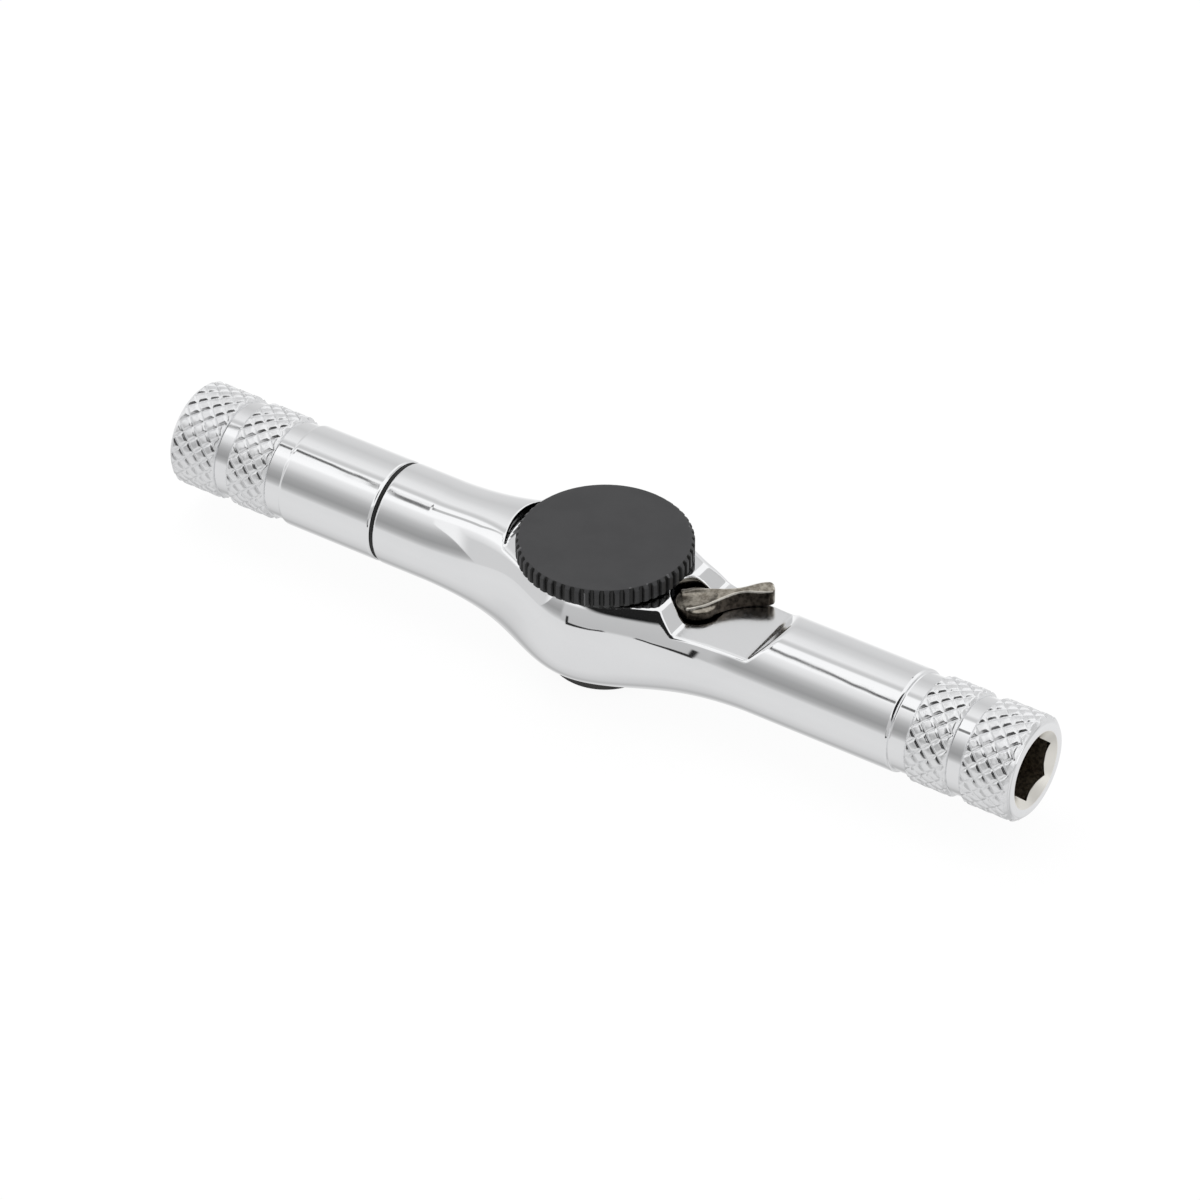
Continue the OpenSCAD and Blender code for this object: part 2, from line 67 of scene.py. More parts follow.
def box_mm(node):
    """Lowest and highest corner of a node, in millimetres."""
    low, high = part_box(node)
    return np.array(low) / MM, np.array(high) / MM


body_low, body_high = box_mm("body")
disc_low, disc_high = box_mm("spinner_disc")
_, lever_high = box_mm("reverse_lever")
magnet_low, magnet_high = box_mm("right_magnet")

AXIS_Z = (magnet_low[2] + magnet_high[2]) / 2
REACH = body_high[0]
STUB_X = body_low[0]
HEAD_HALF = body_high[1]
ARM_R = 5.7
DISC_R = disc_high[0]
# Milled faces on the head, heights from the arms' axis.
SEAT_Z = 5.4
SEAT_END = 9.8
RECESS_R = 10.7
PAD_Z = 3.3
PAD_START = 11.9
PAD_END = 20.5
LEVER_X = 11.5
LEVER_POCKET_R = 2.8
# Ends of the arms.
SMOOTH_END = 38.3
BAND_START = 40.3
SOCKET_CORNER_R = 6.5 / 2 / math.cos(math.radians(30))
MOUTH_R = 4.3
MOUTH_INNER_R = 3.3
MOUTH_DEPTH = 0.75
print("axis height", round(AXIS_Z, 3), "reach", round(REACH, 3), "stub", round(STUB_X, 3))

# %% [markdown]
# ## Camera
# The view is a long lens from the front right, about 80 cm away, which keeps the two arms almost parallel.
# Its direction is given by an azimuth and an elevation, and the aim point is moved by the few pixels by
# which the tool sits off the middle of the picture.
# %% Camera
AZIMUTH = math.radians(33.36)
ELEVATION = math.radians(38.12)
DISTANCE = 795.4
LENS = 226.05
SENSOR = 36.0
IMAGE = 1200
OFFSET_PX = (5.211, -4.521)


def in_scene(name, data):
    """A new object, linked into the scene."""
    obj = bpy.data.objects.new(name, data)
    bpy.context.scene.collection.objects.link(obj)
    return obj


right = Vector((math.cos(AZIMUTH), math.sin(AZIMUTH), 0))
towards = Vector(
    (math.sin(AZIMUTH) * math.cos(ELEVATION), -math.cos(AZIMUTH) * math.cos(ELEVATION), math.sin(ELEVATION))
)
up = towards.cross(right)
mm_per_px = DISTANCE * SENSOR / (LENS * IMAGE)
eye = towards * DISTANCE - right * OFFSET_PX[0] * mm_per_px + up * OFFSET_PX[1] * mm_per_px
eye += Vector((0, 0, AXIS_Z))

camera_data = bpy.data.cameras.new("camera")
camera_data.lens = LENS
camera_data.sensor_width = SENSOR
camera_data.sensor_fit = "HORIZONTAL"
camera_data.clip_start = 0.01
camera_data.clip_end = 20
camera = in_scene("camera", camera_data)
camera.matrix_world = Matrix.Translation(eye * MM) @ Matrix((right, up, towards)).transposed().to_4x4()
bpy.context.scene.camera = camera
print("camera at", [round(x, 1) for x in eye], "mm")

# %% [markdown]
# ## Node trees as sums
# Shader trees and geometry trees share the same Math node. A small wrapper lets a tree be written as a
# sum, so that the rule for a knurl or a scratch can be read as a formula.
# %% Formula wrapper


class Term:
    """A value in a node tree that can be added, multiplied and compared."""

    def __init__(self, tree, socket):
        self.tree = tree
        self.socket = socket

    def op(self, operation, *others):
        node = self.tree.nodes.new("ShaderNodeMath")
        node.operation = operation
        for slot, value in enumerate((self, *others)):
            feed(self.tree, node.inputs[slot], value)
        return Term(self.tree, node.outputs[0])

    def __add__(self, other):
        return self.op("ADD", other)

    def __sub__(self, other):
        return self.op("SUBTRACT", other)

    def __mul__(self, other):
        return self.op("MULTIPLY", other)

    def __truediv__(self, other):
        return self.op("DIVIDE", other)

    def __neg__(self):
        return self * -1

    def inverse(self):
        """1 minus the value."""
        return self * -1 + 1


def feed(tree, socket, value):
    """Sets a socket to a number, or links it to a term or an output."""
    if isinstance(value, Term):
        tree.links.new(value.socket, socket)
    elif isinstance(value, bpy.types.NodeSocket):
        tree.links.new(value, socket)
    else:
        socket.default_value = value


def new_node(tree, kind, settings=None, **inputs):
    """A node with its settings and inputs; an input's name has _ for a space."""
    node = tree.nodes.new(kind)
    for key, value in (settings or {}).items():
        setattr(node, key, value)
    for key, value in inputs.items():
        feed(tree, node.inputs[key.replace("_", " ")], value)
    return node


def split(tree, vector):
    """The three parts of a vector."""
    parts = new_node(tree, "ShaderNodeSeparateXYZ", Vector=vector)
    return [Term(tree, parts.outputs[axis]) for axis in "XYZ"]


def vector_math(tree, operation, a, b):
    """The node that works out something from two vectors."""
    node = new_node(tree, "ShaderNodeVectorMath", {"operation": operation})
    feed(tree, node.inputs[0], a)
    feed(tree, node.inputs[1], b)
    return node


def smooth_step(term, low, high, shape="SMOOTHSTEP"):
    """0 below low, 1 above high, and a soft rise between them."""
    settings = {"interpolation_type": shape}
    node = new_node(term.tree, "ShaderNodeMapRange", settings, Value=term, From_Min=low, From_Max=high)
    return Term(term.tree, node.outputs["Result"])


def linear_step(term, low, high):
    """0 below low, 1 above high, and a straight rise between them."""
    return smooth_step(term, low, high, "LINEAR")


def window(term, low, high, soft):
    """1 between low and high, with soft sides."""
    return smooth_step(term, low - soft, low + soft) - smooth_step(term, high - soft, high + soft)


# %% [markdown]
# ## Studio
# Chrome is a picture of its room, so the room comes first. It is a world of soft bands round the tool's
# length: a pale back wall, a bright softbox overhead with a thin black gap in it, a grey flag low in front,
# and a white table below. Past the ends of the arms the room opens: on the left the flag stops at a slanted
# edge, and on the right hangs a pale card with a black rim. The side behind the camera is dark. Only glossy
# rays see that room. The camera sees plain white, and everything matt gets an even light.
# %% World
world = bpy.data.worlds.new("studio")
bpy.context.scene.world = world
world.use_nodes = True
tree = world.node_tree
tree.nodes.clear()

# Angle round the tool in degrees (0 behind, 90 overhead, 180 in front, 270 below), and the light there.
FIRST_ANGLE = -60
ARM_BANDS = [
    (-60, 0.62), (-45, 0.93), (-32, 0.98), (-20, 0.86), (-8, 0.745), (15, 0.705), (33, 0.645), (51, 0.73),
    (64, 0.86), (76, 0.91), (84, 0.64), (88, 0.66), (92, 1.05), (119, 1.08), (124, 0.92), (135, 0.79),
    (146, 0.56), (158, 0.41), (171, 0.345), (181, 0.45), (187, 0.62), (191, 0.77), (215, 0.785),
    (243, 0.76), (255, 0.71), (267, 0.64), (279, 0.49), (290, 0.58), (300, 0.80),
]
RIGHT_BANDS = [
    (-60, 0.62), (-40, 0.85), (-20, 0.78), (0, 0.75), (22, 0.88), (34, 1.06), (60, 1.0), (100, 1.06),
    (146, 1.0), (152, 0.58), (187, 0.54), (191, 0.77), (215, 0.785), (243, 0.76), (267, 0.64), (279, 0.50),
    (300, 0.80),
]
AMBIENT = 0.80

direction = new_node(tree, "ShaderNodeTexCoord").outputs["Generated"]
side, level, height = split(tree, direction)
turn = height.op("ARCTAN2", level) * (180 / math.pi)
share = ((turn - FIRST_ANGLE) / 360).op("FRACT")
around = share * 360 + FIRST_ANGLE


def light_bands(tree, share, bands):
    """Light by the angle round the tool."""
    node = new_node(tree, "ShaderNodeValToRGB", Fac=share)
    ramp = node.color_ramp
    while len(ramp.elements) < len(bands):
        ramp.elements.new(0.5)
    for element, (angle, light) in zip(ramp.elements, bands):
        element.position = (angle - FIRST_ANGLE) / 360
        element.color = (light, light, light, 1)
    return Term(tree, node.outputs["Color"])


def mixed(tree, factor, a, b):
    """A value between two, by a factor."""
    node = new_node(tree, "ShaderNodeMix", {"data_type": "FLOAT"}, Factor=factor, A=a, B=b)
    return Term(tree, node.outputs["Result"])


# Beyond the left end the softbox is lit down to a slanted edge, and the grey flag lies below that edge.
LEFT_FROM = 0.49
flag_edge = (-side - 0.50) * 266 + 130
above_flag = smooth_step(flag_edge - around, -2, 4) * smooth_step(around, 98, 106)
past_left = smooth_step(-side, LEFT_FROM, LEFT_FROM + 0.04)
left_light = above_flag * past_left * (smooth_step(-side, 0.60, 0.70) * -0.30 + 0.98)
arm_light = light_bands(tree, share, ARM_BANDS).op("MAXIMUM", left_light)
past_right = smooth_step(side, -0.37, -0.30)
room = mixed(tree, past_right, arm_light, light_bands(tree, share, RIGHT_BANDS))

# The gap between the two softboxes runs a little aslant: from its angle at the far left it rises by some
# degrees between one place along the tool and another. It widens where the stub of the left arm sees it,
# and is fainter past the left end.
GAP_ANGLE = 94.5
GAP_RISES = [(-0.76, -0.70, 8), (-0.487, -0.476, -7.5), (-0.474, -0.455, 8), (-0.455, -0.4136, 4),
             (-0.4136, -0.395, 10)]
GAP_HALF = 4.2
on_stub = window(side, -0.4618, -0.450, 0.0006)
gap_at = on_stub * 4.5 + GAP_ANGLE
for start, end, rise in GAP_RISES:
    gap_at = gap_at + linear_step(side, start, end) * rise
gap = smooth_step((around - gap_at).op("ABSOLUTE") / (on_stub * 2.0 + GAP_HALF), 0.35, 1.0).inverse()
gap = gap * smooth_step(side, -0.385, -0.375).inverse() * smooth_step(side, -0.82, -0.72)
gap = gap * (linear_step(side, -0.52, -0.48) * 0.44 + 0.48)

# The card at the right: a black lower rim, open in its middle, and a black left rim.
rim_at = linear_step(side, 0.12, 0.28) * -2.5 + 190.5
rim_half = linear_step(-side, -0.15, 0.20) * 1.9 + 1.6
lower_rim = smooth_step((around - rim_at).op("ABSOLUTE") / rim_half, 0.45, 1.0).inverse()
lower_rim = lower_rim * window(side, -0.235, 0.225, 0.012)
left_rim = window(side, -0.240, -0.19, 0.012) * window(around, 176, 191, 2.0)
rims = lower_rim.op("MAXIMUM", left_rim)

# A grey card beyond the right end, which only the ramp beside the lever sees.
end_card = smooth_step(side, 0.44, 0.54) * window(around, 12, 60, 5) * 0.42

# The dark side behind the camera.
DARK_AIM = Vector((0.36, -0.50, 0.79)).normalized()
DARK_EDGE = (0.825, 0.885)
facing = vector_math(tree, "DOT_PRODUCT", direction, DARK_AIM)
dark = smooth_step(Term(tree, facing.outputs["Value"]), *DARK_EDGE)
blocked = gap
for shade in (rims * 0.97, dark * 0.985, end_card):
    blocked = blocked.op("MAXIMUM", shade)
room = room * blocked.inverse()

rays = new_node(tree, "ShaderNodeLightPath")
seen = mixed(tree, rays.outputs["Is Glossy Ray"], AMBIENT, room)
plain = mixed(tree, rays.outputs["Is Camera Ray"], seen, 1.0)
sky = new_node(tree, "ShaderNodeBackground", Color=(1, 1, 1, 1), Strength=plain)
new_node(tree, "ShaderNodeOutputWorld", Surface=sky.outputs[0])
print("bands along the arms:", len(ARM_BANDS), "and to the right:", len(RIGHT_BANDS))

# %% [markdown]
# ## Floor and lamp
# The floor is pale and matt. The camera sees it almost as white as the world, and a share of its matt
# shading stays, so the tool keeps a faint shadow. One large soft lamp gives the matt parts their shape.
# %% Floor and lamp


def quad(name, corners):
    """A single flat face."""
    mesh = bpy.data.meshes.new(name)
    mesh.from_pydata(corners, [], [(0, 1, 2, 3)])
    return in_scene(name, mesh)


FLOOR_HALF = 3.0
floor = quad("floor", [(-FLOOR_HALF, -FLOOR_HALF, 0), (FLOOR_HALF, -FLOOR_HALF, 0),
                       (FLOOR_HALF, FLOOR_HALF, 0), (-FLOOR_HALF, FLOOR_HALF, 0)])
FLOOR_GREY = 0.80
FLOOR_WHITE = 0.90
FLOOR_GLOW = 1.03
floor_finish = bpy.data.materials.new("floor_paper")
floor_finish.use_nodes = True
tree = floor_finish.node_tree
tree.nodes.clear()
matt = new_node(tree, "ShaderNodeBsdfDiffuse", Color=(FLOOR_GREY, FLOOR_GREY, FLOOR_GREY, 1))
glow = new_node(tree, "ShaderNodeEmission", Strength=FLOOR_GLOW)
rays = new_node(tree, "ShaderNodeLightPath")
share = Term(tree, rays.outputs["Is Camera Ray"]) * FLOOR_WHITE
laid = new_node(tree, "ShaderNodeMixShader", Fac=share)
tree.links.new(matt.outputs[0], laid.inputs[1])
tree.links.new(glow.outputs[0], laid.inputs[2])
new_node(tree, "ShaderNodeOutputMaterial", Surface=laid.outputs[0])
floor.data.materials.append(floor_finish)
floor.visible_glossy = False

lamp_data = bpy.data.lights.new("softbox", "AREA")
lamp_data.shape = "SQUARE"
lamp_data.size = 0.9
lamp_data.energy = 5.0
lamp = in_scene("softbox", lamp_data)
LAMP_AT = Vector((-0.35, 0.25, 1.1))
lamp.location = LAMP_AT
lamp.rotation_euler = (-LAMP_AT).to_track_quat("-Z", "Y").to_euler()
lamp.visible_glossy = False
bpy.context.scene.view_settings.view_transform = "Standard"
print("floor and one lamp")

# %% [markdown]
# ## Shared finishes
# Plated steel is never a perfect mirror: it carries hair-fine scratches from handling and a faint haze
# where fingers touched it. Castings and black coatings have a grain, and wear shows on every outer edge.
# Each of these effects is a node group, built once and placed in each material with its own values.
# %% Effect groups


def effect_group(name, sizes, outputs):
    """An empty shader group with named numbers going in and coming out."""
    group = bpy.data.node_groups.new(name, "ShaderNodeTree")
    for key, value in sizes.items():
        socket = group.interface.new_socket(key, in_out="INPUT", socket_type="NodeSocketFloat")
        socket.default_value = value
    for key in outputs:
        group.interface.new_socket(key, in_out="OUTPUT", socket_type="NodeSocketFloat")
    return group, new_node(group, "NodeGroupInput"), new_node(group, "NodeGroupOutput")


def object_place(tree):
    """The shaded point in the piece's own frame, in metres."""
    return new_node(tree, "ShaderNodeTexCoord").outputs["Object"]


def noise(tree, place, scale, detail, **sizes):
    """Soft noise at a place, from 0 to 1."""
    node = new_node(tree, "ShaderNodeTexNoise", Vector=place, Scale=scale, Detail=detail, **sizes)
    return Term(tree, node.outputs["Fac"])


def make_scratches():
    """Two families of fine lines across each other, and the height and haze that they give."""
    sizes = {"Scale": 900.0, "Stretch": 0.03, "Amount": 0.5}
    group, given, result = effect_group("fine_scratches", sizes, ("Height", "Haze"))
    place = object_place(group)
    lines = None
    for tilt in (0.35, -1.1):
        turned = new_node(group, "ShaderNodeMapping", Vector=place)
        turned.inputs["Rotation"].default_value = (tilt, 0.3, tilt * 0.6)
        squeeze = new_node(group, "ShaderNodeCombineXYZ", X=given.outputs["Stretch"], Y=1.0, Z=1.0)
        thin = vector_math(group, "MULTIPLY", turned.outputs[0], squeeze.outputs[0])
        line = smooth_step(noise(group, thin.outputs[0], given.outputs["Scale"], 2.0), 0.60, 0.78)
        lines = line if lines is None else lines.op("MAXIMUM", line)
    haze = smooth_step(noise(group, place, 120.0, 3.0), 0.42, 0.72)
    amount = Term(group, given.outputs["Amount"])
    feed(group, result.inputs["Height"], lines * amount * -1)
    feed(group, result.inputs["Haze"], (haze * 0.7 + lines * 0.3) * amount)
    return group


def make_grain():
    """A fine cast or blasted grain with a slower mottle under it."""
    sizes = {"Scale": 4000.0, "Mottle": 350.0}
    group, given, result = effect_group("cast_grain", sizes, ("Height", "Patches"))
    place = object_place(group)
    fine = noise(group, place, given.outputs["Scale"], 3.0)
    slow = noise(group, place, given.outputs["Mottle"], 4.0, Roughness=0.65)
    feed(group, result.inputs["Height"], fine * 0.6 + slow * 0.4)
    feed(group, result.inputs["Patches"], smooth_step(slow, 0.36, 0.64))
    return group


def make_edge_wear():
    """A mask of the outer edges, broken up by noise, from the bend of the surface."""
    sizes = {"Start": 0.52, "Spread": 0.08, "Break Up": 0.35}
    group, given, result = effect_group("edge_wear", sizes, ("Mask",))
    bend = Term(group, new_node(group, "ShaderNodeNewGeometry").outputs["Pointiness"])
    rise = (bend - given.outputs["Start"]) / given.outputs["Spread"]
    broken = rise - noise(group, object_place(group), 1500.0, 3.0) * given.outputs["Break Up"]
    feed(group, result.inputs["Mask"], smooth_step(broken, 0.0, 0.8))
    return group


SCRATCHES = make_scratches()
GRAIN = make_grain()
EDGE_WEAR = make_edge_wear()
print("effects:", SCRATCHES.name, GRAIN.name, EDGE_WEAR.name)

# %% [markdown]
# ## Finishes
# Eight finishes cover the tool: plated chrome, a rougher plating on the knurls, the disc's satin black,
# black oxide on the drum and gear, worn gunmetal on the cast lever, dull spring steel, bright ground steel
# and black rubber. Constants sit on the shader's own sockets, and the groups feed only what changes over
# the surface.
# %% Materials


def effect(tree, group, **sizes):
    """A group placed in a material with its own values; its outputs come back as terms."""
    node = new_node(tree, "ShaderNodeGroup", {"node_tree": group}, **sizes)
    return {output.name: Term(tree, output) for output in node.outputs}


def mix_colour(tree, factor, under, over):
    """A colour between two, each given as three numbers or as a socket."""
    node = new_node(tree, "ShaderNodeMix", {"data_type": "RGBA"}, Factor=factor)
    for slot, colour in ((6, under), (7, over)):
        feed(tree, node.inputs[slot], (*colour, 1) if isinstance(colour, tuple) else colour)
    return node.outputs[2]


def new_finish(name, metallic, **constants):
    """A material with one Principled shader whose constants are set."""
    finish = bpy.data.materials.new(name)
    finish.use_nodes = True
    shader = finish.node_tree.nodes["Principled BSDF"]
    shader.inputs["Metallic"].default_value = metallic
    for key, value in constants.items():
        shader.inputs[key.replace("_", " ")].default_value = value
    return finish, finish.node_tree, shader


def dress(tree, shader, colour, rough, height, depth):
    """Feeds what changes over a surface: colour, roughness, and a relief some millimetres deep."""
    feed(tree, shader.inputs["Base Color"], colour)
    feed(tree, shader.inputs["Roughness"], rough)
    bump = new_node(tree, "ShaderNodeBump", Strength=1.0, Distance=depth * MM, Height=height)
    feed(tree, shader.inputs["Normal"], bump.outputs[0])


def place_mm(tree):
    """The shaded point in millimetres, as three terms."""
    return [part / MM for part in split(tree, object_place(tree))]


def distance(a, b):
    """How far a point is from an axis, from its two places across it."""
    return (a * a + b * b).op("SQRT")


def build_shade_and_place_masks():
    """Masks on the body and the extension, in millimetres: the recess wall and the ring of the lever's
    pocket, painted near black as painted shade and, on the recess wall, as a painted reflection of the
    black disc; and the socket flats, the cone and the pad, which polishing doesn't reach.
    """
    names = ("Painted Wall Shade", "Socket Flats", "Cone", "Pad")
    group, _, result = effect_group("painted_shade_place_masks", {}, names)
    x, y, z = place_mm(group)
    z = z - AXIS_Z
    # The recess wall and the pocket's ring are masked for painted shade: a painted reflection of the black
    # disc on the wall, and painted shade in the gap round the lever.
    wall = window(distance(x, y), RECESS_R - 0.1, RECESS_R + 0.12, 0.03)
    wall = wall * smooth_step(z, SEAT_Z + 0.1, SEAT_Z + 0.3)
    pocket = window(distance(x - LEVER_X, y), 1.5, LEVER_POCKET_R, 0.06)
    wall = wall.op("MAXIMUM", pocket * smooth_step(z, PAD_Z - 0.3, PAD_Z - 0.1))
    off_axis = distance(y, z)
    end = x.op("ABSOLUTE")
    cone_r = (end - REACH) * ((MOUTH_R - MOUTH_INNER_R) / MOUTH_DEPTH) + MOUTH_R
    inward = cone_r - off_axis
    near_end = smooth_step(end, BAND_START, BAND_START + 1)
    deep = smooth_step(-off_axis, -SOCKET_CORNER_R - 0.2, -SOCKET_CORNER_R - 0.1)
    past_cone = smooth_step(-end, 0.05 - REACH + MOUTH_DEPTH, 0.1 - REACH + MOUTH_DEPTH)
    flats = deep * near_end * smooth_step(inward, 0.05, 0.10).op("MAXIMUM", past_cone)
    cone = smooth_step(inward.op("ABSOLUTE"), 0.04, 0.06).inverse() * near_end
    pad = window(z, PAD_Z - 0.08, PAD_Z + 0.08, 0.03) * window(x, LEVER_X - 2.5, PAD_END, 0.1)
    for key, mask in zip(names, (wall, flats, cone, pad)):
        feed(group, result.inputs[key], mask)
    return group


def make_chrome(name, smooth, hazy, scratch, places=None, wave_scale=190.0, wave_depth=0.010):
    """Bright plating: cold silver, nearly a mirror, with haze and fine scratches."""
    finish, tree, shader = new_finish(name, 1.0)
    lines = effect(tree, SCRATCHES, Amount=scratch)
    haze = lines["Haze"]
    rough = haze * (hazy - smooth) + smooth
    colour = mix_colour(tree, haze, (0.885, 0.89, 0.90), (0.84, 0.845, 0.86))
    if places:
        masks = effect(tree, places)
        flats, cone = masks["Socket Flats"], masks["Cone"]
        patches = effect(tree, GRAIN, Scale=5000.0, Mottle=2600.0)["Patches"]
        # The flats deep in the socket are given a mottled dark brown.
        socket_brown = mix_colour(tree, patches, (0.16, 0.13, 0.095), (0.42, 0.36, 0.28))
        # The masked walls are painted near black: painted shade, and a painted reflection of the black
        # disc.
        colour = mix_colour(tree, masks["Painted Wall Shade"], colour, (0.012, 0.012, 0.013))
        colour = mix_colour(tree, flats, colour, socket_brown)
        colour = mix_colour(tree, cone * 0.8, colour, (0.90, 0.87, 0.80))
        rough = rough + flats * 0.35 + cone * 0.25
        rough = rough + masks["Pad"] * (patches * 0.06 + 0.09)
    height = lines["Height"] * 0.05 + noise(tree, object_place(tree), wave_scale, 1.0)
    dress(tree, shader, colour, rough, height, wave_depth)
    return finish


def facing_up(tree):
    """How far the surface looks upwards in the piece's own frame, from -1 to 1."""
    return split(tree, new_node(tree, "ShaderNodeTexCoord").outputs["Normal"])[2]


def make_disc_black():
    """Satin black coating with a fine grain; the side wall and, darker still, the bottoms of the flutes are
    painted shade, and the rim is rubbed lighter.
    """
    finish, tree, shader = new_finish("disc_satin_black", 0.0, Specular_IOR_Level=0.45)
    grain = effect(tree, GRAIN, Scale=5200.0, Mottle=260.0)
    patches = grain["Patches"]
    x, y, _ = place_mm(tree)
    radius = distance(x, y)
    # The side wall, which faces away from the light, and the flute bottoms are painted darker: painted
    # shade.
    side_wall_painted_shade = smooth_step(facing_up(tree), 0.20, 0.45).inverse()
    slot = side_wall_painted_shade * smooth_step(radius, DISC_R - 0.22, DISC_R - 0.08).inverse()
    worn = effect(tree, EDGE_WEAR, Start=0.53, Spread=0.06, Break_Up=0.8)["Mask"]
    rubbed = worn * smooth_step(radius, DISC_R - 0.55, DISC_R - 0.35) * 0.6
    colour = mix_colour(tree, patches, (0.030, 0.030, 0.032), (0.038, 0.038, 0.040))
    # Painted shade: the side wall darker, the flute bottoms nearly black.
    colour = mix_colour(tree, side_wall_painted_shade, colour, (0.021, 0.021, 0.022))
    colour = mix_colour(tree, slot, colour, (0.004, 0.004, 0.004))
    colour = mix_colour(tree, rubbed, colour, (0.16, 0.16, 0.165))
    dress(tree, shader, colour, patches * 0.08 + 0.44, grain["Height"], 0.006)
    return finish


def make_gunmetal():
    """Worn gunmetal casting: darker brown flanks and a lighter top, chosen by how far the surface faces up,
    which is painted shade and painted light, and ridges and a tip made bright, partly as wear and partly as
    a painted highlight.
    """
    finish, tree, shader = new_finish("lever_gunmetal", 1.0)
    grain = effect(tree, GRAIN, Scale=3200.0, Mottle=1300.0)
    patches = grain["Patches"]
    # Painted shade and painted light: the flanks take a darker colour and the upward-facing top a lighter
    # one.
    flank = mix_colour(tree, patches, (0.030, 0.025, 0.020), (0.115, 0.098, 0.080))
    top = mix_colour(tree, patches, (0.22, 0.195, 0.16), (0.50, 0.465, 0.40))
    colour = mix_colour(tree, smooth_step(facing_up(tree), 0.60, 0.92), flank, top)
    ridge_wear_and_highlight = new_node(tree, "ShaderNodeAttribute", {"attribute_name": "ridge_wear_and_highlight"}).outputs["Fac"]
    # The ridges and the tip are mixed towards bright metal: partly wear, partly a painted highlight.
    rubbed = smooth_step(Term(tree, ridge_wear_and_highlight) + patches * 0.2, 0.25, 0.85) * 0.9
    colour = mix_colour(tree, rubbed, colour, (0.82, 0.79, 0.72))
    dress(tree, shader, colour, patches * 0.12 + 0.33, grain["Height"], 0.008)
    return finish


def make_grained(name, metallic, sizes, colours, rough, rise, **constants):
    """A dark finish whose colour and roughness follow the slow patches of its grain."""
    finish, tree, shader = new_finish(name, metallic, **constants)
    grain = effect(tree, GRAIN, Scale=sizes[0], Mottle=sizes[1])
    patches = grain["Patches"]
    dress(tree, shader, mix_colour(tree, patches, *colours), patches * rise + rough,
          grain["Height"], 0.004)
    return finish


def make_plain_steel(name, low, high, rough):
    """Bare steel with turning haze and scratches."""
    finish, tree, shader = new_finish(name, 1.0)
    lines = effect(tree, SCRATCHES, Amount=0.8, Scale=1600.0)
    haze = lines["Haze"]
    colour = mix_colour(tree, haze, high, low)
    dress(tree, shader, colour, haze * 0.15 + rough, lines["Height"], 0.002)
    return finish


# Oiled black oxide on turned steel, and matt black rubber with a faint bloom.
BLACK_OXIDE = ((0.030, 0.030, 0.031), (0.055, 0.054, 0.052))
BLACK_RUBBER = ((0.012, 0.012, 0.012), (0.022, 0.022, 0.022))
DULL_STEEL = ((0.30, 0.30, 0.31), (0.42, 0.42, 0.43))
GROUND_STEEL = ((0.52, 0.52, 0.53), (0.66, 0.66, 0.67))
FINISHES = {
    "chrome": make_chrome("chrome_plate", 0.04, 0.10, 0.5, build_shade_and_place_masks()),
    "disc_black": make_disc_black(),
    "black_oxide": make_grained("black_oxide_steel", 0.75, (3000.0, 500.0), BLACK_OXIDE, 0.34, 0.12),
    "cast_lever": make_gunmetal(),
    "spring_steel": make_plain_steel("spring_steel_dull", *DULL_STEEL, 0.28),
    "bright_steel": make_plain_steel("ground_steel_bright", *GROUND_STEEL, 0.20),
    "seal_rubber": make_grained("seal_rubber_black", 0.0, (3500.0, 700.0), BLACK_RUBBER, 0.5, 0.15,
                                Specular_IOR_Level=0.35),
}
# Rolled diamonds are never quite alike, so the knurl's plating is rougher and more uneven.
KNURL_CHROME = make_chrome("chrome_on_knurl", 0.26, 0.38, 0.6, wave_scale=900.0, wave_depth=0.16)
print("finishes:", ", ".join(FINISHES))

# %% [markdown]
# ## Kept solids
# Small parts such as the magnets, clips, pin and seals already have their right shape in the solids, so
# they stay and take a finish. Each node's material slot in the record names the finish.
# %% Dress the kept nodes
SLOT_OF = {part["node"]: part["material_slot"] for part in frame["record"]["subparts"]}
for name, obj in nodes.items():
    obj.data.materials.clear()
    obj.data.materials.append(FINISHES[SLOT_OF[name]])
print("dressed:", len(SLOT_OF), "nodes")

# %% [markdown]
# ## Meshes from a field
# The head is a forging with milled faces, and every edge between two faces has a small round. Such a body
# could be cut with booleans and bevelled, but bevels break up on curved forgings. Instead its surface is
# written as a field, negative inside and zero on the skin, in which a soft maximum gives each edge its
# round. A surface net then walks the cells that the skin crosses and lays one point in each.
# %% Surface net


def soft_max(a, b, size):
    """The larger of two fields, rounded over size where they cross."""
    rest = np.maximum(size - np.abs(a - b), 0)
    return np.maximum(a, b) + rest * rest / (4 * size)


def soft_min(a, b, size):
    """The smaller of two fields, rounded in the same way."""
    return -soft_max(-a, -b, size)


CORNERS = [(i, j, k) for i in (0, 1) for j in (0, 1) for k in (0, 1)]
EDGES = [(a, b) for a in CORNERS for b in CORNERS if a < b and sum(abs(p - q) for p, q in zip(a, b)) == 1]


def edge_points(values, cells, axes):
    """Mean of the points where the skin crosses each cell's edges."""
    total = np.zeros((len(cells[0]), 3))
    count = np.zeros(len(cells[0]))
    for a, b in EDGES:
        at_a = [c + o for c, o in zip(cells, a)]
        at_b = [c + o for c, o in zip(cells, b)]
        low = values[tuple(at_a)]
        high = values[tuple(at_b)]
        crossed = (low < 0) != (high < 0)
        share = np.where(crossed, low / np.where(crossed, low - high, 1), 0)
        for axis in range(3):
            start = axes[axis][at_a[axis]]
            end = axes[axis][at_b[axis]]
            total[:, axis] += np.where(crossed, start + (end - start) * share, 0)
        count += crossed
    return total / count[:, None]


